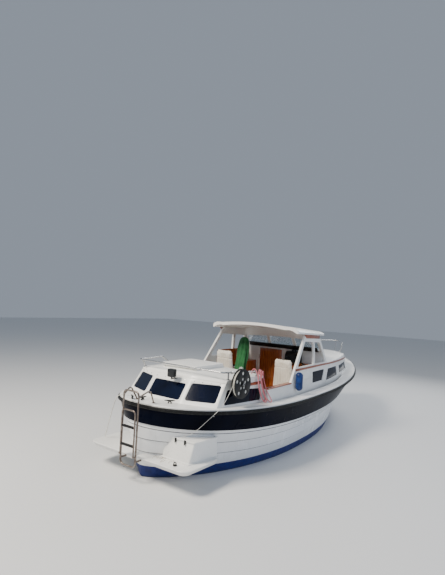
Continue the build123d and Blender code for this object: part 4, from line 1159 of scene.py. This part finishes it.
def strip_stations():
    """x and the two edges' heights along the house's rubbing strip."""
    stations = []
    for (x0, low0, high0), (x1, low1, high1) in zip(strip_rows, strip_rows[1:]):
        stations += [(between(x0, x1, k / 8), between(low0, low1, k / 8), between(high0, high1, k / 8))
                     for k in range(8)]
    return [*stations, strip_rows[-1]]


def strip_ring(x, low, high):
    """Section of the strip at x, laid on the skin."""
    return [(x, skin_y(x, low) + seam, low), (x, skin_y(x, low) + strip_thick, low),
            (x, skin_y(x, high) + strip_thick, high), (x, skin_y(x, high) + seam, high)]


def build_hardtop(finish):
    """Hardtop with its rolled lip, and the wooden board below its sides."""
    (x0, half0, *_), (x1, half1, *_) = top_rows
    outer = lofted(*[top_section(x, 0, 0, lip_floor(x)) for x in (x0, x1)])
    corners = [(x0, -half0 - 2), (x1, -half1 - 2), (x1, half1 + 2), (x0, half0 + 2)]
    plan = round_corners(corners, top_corner, 10)
    outer = carve(outer, prism(plan, "z", 1500, 2500), "INTERSECT")
    top = carve(outer, top_inside())
    piece("hardtop_shell", round_edges(top, 12, 3, 30), finish["deck"], instead_of=("hardtop",))
    board = []
    for x, drop in ((-60, 6), (60, top_board_deep), (300, top_board_deep), (760, top_board_deep)):
        high, low = lip_floor(x) - seam, lip_floor(x) - drop
        inner, outer = frame_y(x, high) + seam, frame_y(x, high) + top_board_thick
        board.append([(x, inner, low), (x, outer, low), (x, outer, high), (x, inner, high)])
    piece("hardtop_board", round_edges(both_sides(lofted(*board)), 3), finish["mahogany"],
          instead_of=("hardtop_trim",))


def build_rails(finish):
    """Rail on the aft cabin's roof, and the bow rail."""
    rail = [pipe(rail_route, tube_radius, rail_bend)] + [pipe(post, tube_radius) for post in rail_posts]
    feet = [rail_route[0], rail_route[-1]] + [post[0] for post in rail_posts]
    rail += [disc((x, y, roof_z(y)), upright, rail_foot, -6, 5) for x, y, z in feet]
    piece("rail_on_roof", together(*rail), finish["steel"], instead_of=("roof_rail",), crease=tube_crease)

    whole = [*pulpit_route] + [(x, -y, z) for x, y, z in reversed(pulpit_route)]
    x, y, z = pulpit_route[2]
    legs = [pipe([(x, side * (y - 15), deck_z(x)), (x, side * y, z + 6)], tube_radius) for side in (1, -1)]
    legs.append(pipe([(pulpit_post_x, 0, deck_z(pulpit_post_x)), pulpit_post_top], tube_radius))
    end_x, end_y, _ = pulpit_route[0]
    spots = ((end_x, end_y), (end_x, -end_y), (x, y - 15), (x, 15 - y), (pulpit_post_x, 0))
    feet = [disc((px, py, deck_z(px)), upright, pulpit_foot, -4, 5) for px, py in spots]
    piece("bow_rail", together(pipe(whole, tube_radius, pulpit_bend), *legs, *feet), finish["steel"],
          instead_of=("pulpit",), crease=tube_crease)


def build_platform(finish):
    """Both halves of the swim platform, and the locker with its lid."""
    def section(z, inset):
        aft, half = plat_aft + inset, plat_half - inset
        points = rectangle(aft, plat_fore, plat_gap, half)
        corners = [2, 2, plat_corner - inset, plat_corner - inset]
        return [(x, y, z) for x, y in round_corners(points, corners, 8)]

    rows = ((plat_thick, plat_taper), (12, 3), (6, 0), (0, 7))
    half = lofted(*[section(plat_top - down, inset) for down, inset in rows])
    piece("bathing_platform", both_sides(round_edges(half, 5, 2, 50)), finish["deck"],
          instead_of=("swim_platform",))

    foot = round_corners(inset_outline(locker_low, -16), 30)
    low, high = round_corners(locker_low, 26), round_corners(locker_high, 26)
    box = stacked((foot, plat_top + 0.5), (foot, plat_top + 9), (low, plat_top + 16), (high, locker_top))
    piece("stern_locker", round_edges(box, 6, 3, 30), finish["deck"], instead_of=("platform_locker",))
    rim = round_corners(inset_outline(locker_high, -lid_lip), 34)
    top = round_corners(inset_outline(locker_high, 14), 30)
    lid = stacked((rim, locker_top + 1), (rim, locker_top + lid_thick - 6), (top, locker_top + lid_thick))
    piece("stern_locker_lid", round_edges(lid, 5, 3, 25), finish["deck"], instead_of=("locker_lid",))


def build_ladder(finish):
    """Fixed frame of the boarding ladder, with its brackets and hinge pins."""
    r, x, h = tube_radius, ladder_x, ladder_half
    middle = (ladder_top + ladder_low) / 2
    halves = [[(x, s * h, middle), (x, s * h, end), (x, -s * h, end), (x, -s * h, middle)]
              for s, end in ((-1, ladder_top), (1, ladder_low))]
    parts = [pipe(half, r, ladder_bend) for half in halves]
    for side in (-1, 1):
        (foot_x, foot_y), (knee_x, knee_y, knee_z) = ladder_foot, ladder_knee
        y, low, foot = side * h, ladder_bracket_low, (foot_x, side * foot_y, deck_z(foot_x))
        parts.append(pipe([(x, y, low), (plat_aft + 16, y, low)], r))
        stay = [(x, y, ladder_bracket_high), (knee_x, side * knee_y, knee_z), foot]
        parts.append(pipe(stay, r - 2, fold_bend))
        parts.append(disc(foot, upright, ladder_foot_radius, -4, 5))
        plate = slab(fold_x - 10, x, y - 4, y + 4, ladder_hinge - 10, ladder_hinge + 10)
        parts.append(round_edges(plate, 3))
        pin = side * (fold_half + r + 0.4)
        parts.append(pipe([(fold_x, pin, ladder_hinge), (fold_x, y, ladder_hinge)], 6))
    piece("ladder_rails", together(*parts), finish["ladder"], instead_of=("ladder_frame",),
          crease=tube_crease)


def build_ladder_fold(finish):
    """Folding part of the ladder, and its ribbed treads."""
    x, h, r, low = fold_x, fold_half, fold_radius, ladder_hinge - 10
    rails = pipe([(x, -h, low), (x, -h, fold_top), (x, h, fold_top), (x, h, low)], r, fold_bend)
    piece("ladder_fold_rails", rails, finish["ladder"], "ladder_fold", ("ladder_fold",), crease=tube_crease)
    treads = []
    for z in tread_z:
        tread = slab(x - tread_aft, x + tread_fore, -h + r - 3, h - r + 3, z - tread_half, z + tread_half)
        treads.append(round_edges(tread, 7, 3))
        for k in range(1, tread_ribs + 1):
            y = -h + r + tread_pitch * k
            treads.append(slab(x - tread_aft + 1, x + tread_fore - 1, y, y + rib_wide,
                               z + tread_half - 2, z + tread_half + 1))
    piece("ladder_treads", together(*treads), finish["black"], "ladder_fold")


def build_reel(finish):
    """Line reel with pierced flanges, and the carrier that holds it to the roof rail."""
    centre = (reel_x, reel_y, reel_z)
    flanges = []
    for out in (flange_half - reel_half, reel_half - flange_half):
        flange = disc((reel_x, reel_y + out, reel_z), sideways, reel_radius, -flange_half, flange_half, 64)
        holes = []
        for i in range(reel_spokes):
            t = pi / 2 + 2 * pi * i / reel_spokes
            for circle, hole in reel_holes:
                spot = (reel_x + circle * cos(t), reel_y + out, reel_z + circle * sin(t))
                holes.append(disc(spot, sideways, hole, -20, 20, 20))
        flanges.append(round_edges(carve(flange, together(*holes)), 2.5, 2))
    hub = disc(centre, sideways, hub_radius, -hub_half, hub_half, 24)
    hub = carve(hub, disc(centre, sideways, hub_bore, -60, 60, 24))
    piece("reel_discs", together(*flanges, hub), finish["black"], "line_reel", ("line_reel",))

    bars = [round_edges(slab(reel_x - half, reel_x + half, *span), 3) for half, *span in carrier_bars]
    clamp = pipe([(reel_x - clamp_half, *clamp_aft), (reel_x + clamp_half, *clamp_fore)], clamp_radius)
    spindle = [disc(centre, sideways, spindle_radius, -52, 60, 20),
               disc(centre, sideways, nut_radius, -52, -40, 6)]
    piece("reel_carrier", together(*bars, clamp, *spindle), finish["steel"],
          instead_of=("reel_bracket",))


def build_winding(finish):
    """Line wound on the reel, with a groove between its turns."""
    rings = []
    for k in range(2 * winding_turns - 1):
        radius = winding_radius * (winding_groove if k % 2 else 1)
        y = reel_y + winding_step * (k + 1 - winding_turns)
        turns = [2 * pi * i / winding_cuts for i in range(winding_cuts)]
        rings.append([(reel_x + radius * cos(t), y, reel_z + radius * sin(t)) for t in turns])
    bore = disc((reel_x, reel_y, reel_z), sideways, hub_radius + 2, -40, 40, 24)
    winding = carve(lofted(*rings), bore)
    piece("wound_line", winding, finish["white_rope"], "line_reel", crease=60)


def build_cleats(finish):
    """Horn cleats, each on the deck's highest point below it."""
    outline = [*cleat_outline] + [(-x, z) for x, z in reversed(cleat_outline) if x]
    horns = []
    for x, y, turn in cleats:
        horn = round_edges(prism(outline, "y", -cleat_half, cleat_half), 4, 3)
        seat = max(deck_z(x - cleat_foot), deck_z(x + cleat_foot)) + 0.5
        horns.append(placed(horn, (x, y, seat), turn))
    piece("horn_cleats", together(*horns), finish["black"], instead_of=("cleats",))


def build_lamp(finish):
    """Floodlight with cooling ribs in a stirrup, on an arm from the roof."""
    x, y, z = lamp_centre
    deep, wide, tall = [size / 2 for size in lamp_size]
    face = round_corners(rectangle(y - wide, y + wide, z - tall, z + tall), 14)
    parts = [round_edges(prism(face, "x", x - deep, x + deep), 5, 3)]
    for k in range(lamp_ribs):
        rib = y + lamp_rib_pitch * (k - lamp_ribs // 2)
        parts.append(slab(x + deep - 2, x + deep + lamp_rib_deep, rib - 2, rib + 2,
                          z - lamp_rib_tall, z + lamp_rib_tall))
    low, half = z - tall - stirrup_gap, stirrup_half
    parts.append(round_edges(slab(x - half, x + half, y - wide - 7, y + wide + 7, low, low + 5), 2))
    for side in (-1, 1):
        edge = y + side * (wide + 4)
        parts.append(round_edges(slab(x - half, x + half, edge - 2.5, edge + 2.5, low, z + 12), 2))
        parts.append(disc((x, edge, z), (0, side, 0), 9, 0, 10, 12))
    right, left = y - arm_half, y + arm_half
    parts.append(round_edges(slab(x - arm_half, x + arm_half, right, left, arm_low + 6, low + 2), 2))
    parts.append(round_edges(slab(x - arm_half, x + arm_long, right, left, arm_low, arm_high), 2))
    piece("work_lamp", together(*parts), finish["grey"], instead_of=("floodlight",))


def wall_profile(x, gap):
    """Half breadths inside the house and the wheelhouse at x, as (y, z) from the sole up."""
    below = [(liner_half - gap, z) for z in (sole_z, fore_low)]
    house = [(house_y(x, z) - house_wall - gap, z + up) for z, up in ((house_low, 1), (house_high - 2, 0))]
    above = [(frame_y(x, z) - frame_wall - gap, z) for z in (house_high + 5, plate_top)]
    return below + house + above


def build_fore_bulkhead(finish):
    """Bulkhead with its jambs, and the panelled door with knob and hinges."""
    port = wall_profile(plate_aft, 1)
    outline = [(-y, z) for y, z in port] + [(y, z) for y, z in reversed(port)]
    plate = prism(outline, "x", plate_aft, plate_fore)
    plate = carve(plate, slab(plate_aft - 36, plate_aft + 64, door_right, door_left, door_low, door_high))
    jambs = [slab(plate_aft - jamb_thick, plate_aft - seam, y, y + jamb_wide, door_low, door_high + 34)
             for y in (door_left + 4, door_right - 4 - jamb_wide)]
    piece("fore_wall", together(round_edges(plate, 2), *jambs), finish["deck"],
          instead_of=("fore_bulkhead",))

    y0, y1 = door_right + door_play, door_left - door_play
    z0, z1 = door_low + door_play, door_high - door_play
    door = slab(plate_aft, plate_fore, y0, y1, z0, z1)
    panel_aft, panel_fore = plate_aft - 36, plate_aft + door_panel
    for low, high in ((z0 + door_rail, door_middle[0]), (door_middle[1], z1 - door_rail)):
        door = carve(door, slab(panel_aft, panel_fore, y0 + door_stile, y1 - door_stile, low, high))
    knob = disc((plate_aft - 4, y0 + knob_in, knob_z), lengthways, knob_radius, -16, 4, 20)
    piece("fore_door_leaf", round_edges(door, 2.5, 2), finish["board"], "fore_door", ("fore_door",))
    piece("fore_door_knob", round_edges(knob, 4, 3), finish["steel"], "fore_door")
    hinges = [disc((plate_aft - 5, y1 + hinge_out, z), upright, 5, -hinge_half, hinge_half, 12)
              for z in hinge_levels]
    piece("fore_door_hinges", together(*hinges), finish["steel"])


def build_dash(finish):
    """Hood below the windscreen, and the instrument pod with its dials, switches and compass."""
    (foot_z, _, foot_x, *_), (head_z, _, head_x, *_) = frame_foot, frame_head
    x0, x1 = [foot_x + (head_x - foot_x) * (z - foot_z) / (head_z - foot_z) - frame_wall - 2
              for z in (visor_low, visor_high)]
    side = [(x0 - visor_foot, visor_low), (x0 - 2, visor_low), (x1 - 2, visor_high),
            (x1 - visor_head, visor_high)]
    hood = prism(side, "y", -visor_half, visor_half)
    piece("dash_hood", round_edges(hood, 8, 3), finish["black"])

    pod = round_edges(prism(pod_side, "y", *pod_ends), 14, 4, 30)
    (low_x, low_z), (high_x, high_z) = pod_side[:2]
    axis = (low_z - high_z, 0, high_x - low_x)
    parts = []
    for y, r in dials:
        middle = (dial_x, y, dial_z)
        parts.append(carve(disc(middle, axis, r, 0, 9, 32), disc(middle, axis, r - 5, 5, 20, 32)))
    x, y, z = switch_spot
    for k in range(switch_count):
        parts.append(disc((x, y + switch_pitch * k, z), switch_axis, 9, 0, 12, 12))
    dome = round_edges(disc(compass_spot, upright, compass_radius, 0, compass_high, 28), 14, 4)
    parts = [round_edges(part, 1.5, 2) for part in parts]
    piece("instrument_pod", together(pod, *parts, dome), finish["black"])


def padded_shell(name, mesh, material, seams, pull):
    """Swells a closed form with cloth under pressure, then draws its sewn channels in."""
    holder = shown(name, mesh)
    grain = holder.modifiers.new("grain", "REMESH")
    grain.mode, grain.voxel_size = "VOXEL", (0.007)
    holder.data = evaluated(holder)
    holder.modifiers.clear()
    swell(holder)
    shell = holder.data
    bpy.data.objects.remove(holder)
    for v in shell.vertices:
        depth = sum(max(0.0, 1 - (abs(along(v.co)) / wide) ** 2) for along, wide in seams)
        v.co -= v.normal * pull * mm * min(depth, 1.0)
    made = piece(name, shell, material, crease=soft_crease)
    smooth = made.modifiers.new("smooth", "SUBSURF")
    smooth.levels = smooth.render_levels = 1
    return made


def swell(holder):
    """Blows the form up as cloth, by no more than most_swell."""
    cloth = holder.modifiers.new("cloth", "CLOTH")
    cloth.settings.use_pressure = True
    cloth.settings.uniform_pressure_force = 4
    cloth.settings.effector_weights.gravity = 0
    scene = bpy.context.scene
    for step in range(1, swell_steps + 1):
        scene.frame_set(step)
    swollen = evaluated(holder)
    holder.modifiers.clear()
    for v, moved in zip(holder.data.vertices, swollen.vertices):
        shift = moved.co - v.co
        v.co += shift if shift.length < most_swell else shift.normalized() * most_swell
    scene.frame_set(1)


def seat_seams(y, pitch, count, wide, narrowing=0.0):
    """Sewn channels side by side: how far a point is from each, and the channel's half width."""
    offsets = [pitch * (k - (count - 1) / 2) for k in range(count)]
    return [(lambda co, off=off: co.y - y * mm - off * (1 - narrowing * (co.z - back_low * mm)), wide)
            for off in offsets]


def build_seats(finish):
    """A padded back and a padded pan for each seat."""
    for name, x, y, top in seats:
        rows = []
        for share, less_wide, less_deep in back_sections:
            z = between(back_low, top, share)
            half = between(back_wide, back_narrow, share) - less_wide
            deep = back_deep / 2 - less_deep
            middle = x - back_aft - back_tilt * (z - back_low)
            plan = rectangle(middle - deep, middle + deep, y - half, y + half)
            rows.append((round_corners(plan, back_corner, 3), z))
        seams = seat_seams(y, *back_seams)
        # One more channel across the back, below its top
        seams.append((lambda co: co.z - (top - back_head) * mm, 0.006))
        back = padded_shell(f"{name}_back", stacked(*rows), finish["leather"], seams, 11.0)

        aft, fore, right, left = x + pan_from, x + pan_to, y - pan_half, y + pan_half
        rim = round_corners(rectangle(aft, fore, right, left), pan_corner, 4)
        inner = inset_outline(rim, pan_inset)
        cushion = stacked(*zip((inner, rim, rim, inner), pan_levels))
        seams = seat_seams(y, *pan_seams)
        pan = padded_shell(f"{name}_pan", cushion, finish["leather"], seams, 6.0)
        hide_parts(f"{name}_seat")
        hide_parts(f"{name}_seat")


def rope(name, points, diameter, material, body="hull", instead_of=()):
    """Cord as one smooth spline; its points are in metres."""
    curve = bpy.data.curves.new(name, "CURVE")
    curve.dimensions = "3D"
    line = curve.splines.new("NURBS")
    line.points.add(len(points) - 1)
    for spot, place in zip(line.points, points):
        spot.co = (*place, 1)
    line.order_u = 3
    line.use_endpoint_u = True
    line.resolution_u = 6
    curve.bevel_depth = diameter / 2
    curve.bevel_resolution = 3
    curve.use_fill_caps = True
    curve.materials.append(material)
    made = shown(name, curve)
    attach(made, body)
    if instead_of:
        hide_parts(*instead_of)
    return made


def build_ropes(finish):
    """Lines laid one by one, each with what it is."""
    line = rope("stay_line", stay_route, 0.012, finish["white_rope"], instead_of=("platform_stay",))
    line = rope("reel_line", reel_line_route, 0.006, finish["white_rope"])
    line = rope("rail_loop", coil_route, 0.009, finish["white_rope"], instead_of=("line_coil",))
    line = rope("pink_hank", hank_route, 0.015, finish["pink_rope"], instead_of=("rope_hank",))


def build_canvas(finish):
    """Green cover, gathered and hung by a tie from the hardtop."""
    form = bmesh.new()
    loops = []
    for z, lean, across, deep, fold in canvas_rings:
        loop = []
        for i in range(canvas_count + 1):
            t = 2 * pi * i / canvas_count
            wave = 1 + fold * sum(cos(count * t + z / run) * share for count, run, share in canvas_waves)
            spot = (canvas_x + deep * wave * cos(t), canvas_y + lean + across * wave * sin(t), z)
            loop.append(form.verts.new(spot))
        loops.append(loop)
    for high, low in zip(loops, loops[1:]):
        for i in range(canvas_count):
            form.faces.new((high[i], high[i + 1], low[i + 1], low[i]))
    form.faces.new(loops[0][:-1])
    bmesh.ops.subdivide_edges(form, edges=form.edges, cuts=1, use_grid_fill=True, smooth=0.4)
    cover = finish_mesh(form, "canvas")
    made = piece("canvas_cover", cover, finish["canvas"], instead_of=("green_cover",), crease=soft_crease)

    x, y = canvas_x * mm, canvas_y * mm
    route = [(x, y, canvas_tie_low), (x + 0.002, y, 1.80), (x - 0.002, y, 1.86), (x, y, canvas_tie_top)]
    tie = rope("canvas_tie", route, 0.010, finish["white_rope"])


def build_linings(finish):
    """Cockpit liner with its shelf, and the wooden board along the port side."""
    x0, x1 = bulkhead_x + 38, plate_aft - 1
    inner, shelf_low = liner_half - liner_thick, shelf_z - shelf_thick
    edge = [(x, house_y(x, shelf_z) - house_wall - 1) for x in (x1, house_bend_x, x0)]
    shelf = prism([(x0, inner), (x1, inner), *edge], "z", shelf_low, shelf_z)
    wall = slab(x0, x1, inner, liner_half, sole_z, shelf_low)
    piece("cockpit_lining", round_edges(both_sides(together(shelf, wall)), 3), finish["deck"],
          instead_of=("cockpit_liner",))
    corners = rectangle(board_low, board_high, 1, 1 + board_thick)
    board = [[(x, frame_y(x, z) - frame_wall - gap, z) for z, gap in corners] for x in board_sections]
    piece("side_board", round_edges(lofted(*board), 3), finish["board"])


def build_latches(finish):
    """Latches of the platform's locker, and a small bollard beside it."""
    parts = []
    for x, y, turn in latches:
        body = together(*[slab(*size) for size in latch_parts])
        parts.append(placed(round_edges(body, 2.5, 2), (x, y, locker_top + 14), turn))
    x, y = bollard
    low, high = plat_top + 8, plat_top + 42
    parts.append(round_edges(disc((x, y, plat_top), upright, bollard_radius, 0, 12, 20), 3))
    parts.append(pipe([(x, y - 22, low), (x, y - 16, high), (x, y + 16, high), (x, y + 22, low)], 7, 14))
    piece("locker_latches", together(*parts), finish["black"])


def build_studs(finish):
    """Press studs for the cover of the aft cabin, just below its roof."""
    share = (stud_z - cabin_low) / (cabin_high - cabin_low)
    corners = zip(cabin_plan_low[:2], cabin_plan_high[:2])
    (ax, ay), (bx, by) = [[between(a, b, share) for a, b in zip(p, q)] for p, q in corners]
    studs = []
    for y in stud_rows:
        x = ax if abs(y) < ay else between(ax, bx, (abs(y) - ay) / (by - ay))
        z = min(stud_z, crown_z(crown_half, cabin_side_z, cabin_mid_z, y) - 14)
        lean = -0.45 if y < -ay else 0.45 if y > ay else 0
        studs.append(disc((x, y, z), (-0.8, lean, 0.5), 8, -6, 5, 14))
    piece("studs", round_edges(together(*studs), 2, 2), finish["steel"])


def build_litter(finish):
    """Dead leaves on the platform, beside the ladder."""
    scraps = bmesh.new()
    random.seed(7)
    aft, fore, right, left = leaf_patch
    for _ in range(leaf_count):
        x, y = random.gauss(leaf_x, leaf_spread_x), random.gauss(leaf_y, leaf_spread_y)
        if not (aft < x < fore and right < y < left):
            continue
        size, turn = random.uniform(5, 15), random.uniform(0, pi)
        corners = [(size, 0, 3), (0, size * 0.45, 1), (-size, 0, 3), (0, -size * 0.45, 1)]
        spots = [(x + u * cos(turn) - v * sin(turn), y + u * sin(turn) + v * cos(turn), plat_top + 0.6 + w)
                 for u, v, w in corners]
        scraps.faces.new([scraps.verts.new(spot) for spot in spots])
    piece("leaf_litter", finish_mesh(scraps, "leaves"), finish["leaf"])


def set_stage():
    """Floor, sky and lights."""
    bpy.ops.mesh.primitive_plane_add(size=80, location=(0, 0, 0))
    floor = bpy.context.object
    floor.name = "floor"
    floor.data.materials.append(floor_paint())
    world = bpy.data.worlds.new("studio")
    world.use_nodes = True
    world.node_tree.nodes["Background"].inputs[0].default_value = linear("#D3E0F2")
    world.node_tree.nodes["Background"].inputs[1].default_value = 0.42
    bpy.context.scene.world = world
    add_light("key", (-9.0, 2.6, 9.5), (-0.5, 0, 0.8), 3.2, 2100, "#FFF6E8")
    add_light("fill", (-1.0, -9.5, 5.0), (0, 0, 0.8), 6.0, 300, "#DCE8FF")
    add_light("bow", (8.0, -1.0, 6.0), (0, 0, 1.0), 5.0, 350)


add_camera()
set_stage()
finish = make_finishes()
dress_nodes(finish)
for build in (build_aft_cabin, build_house, build_fore_cabin, build_strips, build_hardtop, build_rails,
              build_platform, build_ladder, build_ladder_fold, build_reel, build_cleats, build_lamp,
              build_fore_bulkhead, build_dash, build_seats, build_ropes, build_winding, build_canvas,
              build_linings, build_latches, build_studs, build_litter):
    build(finish)
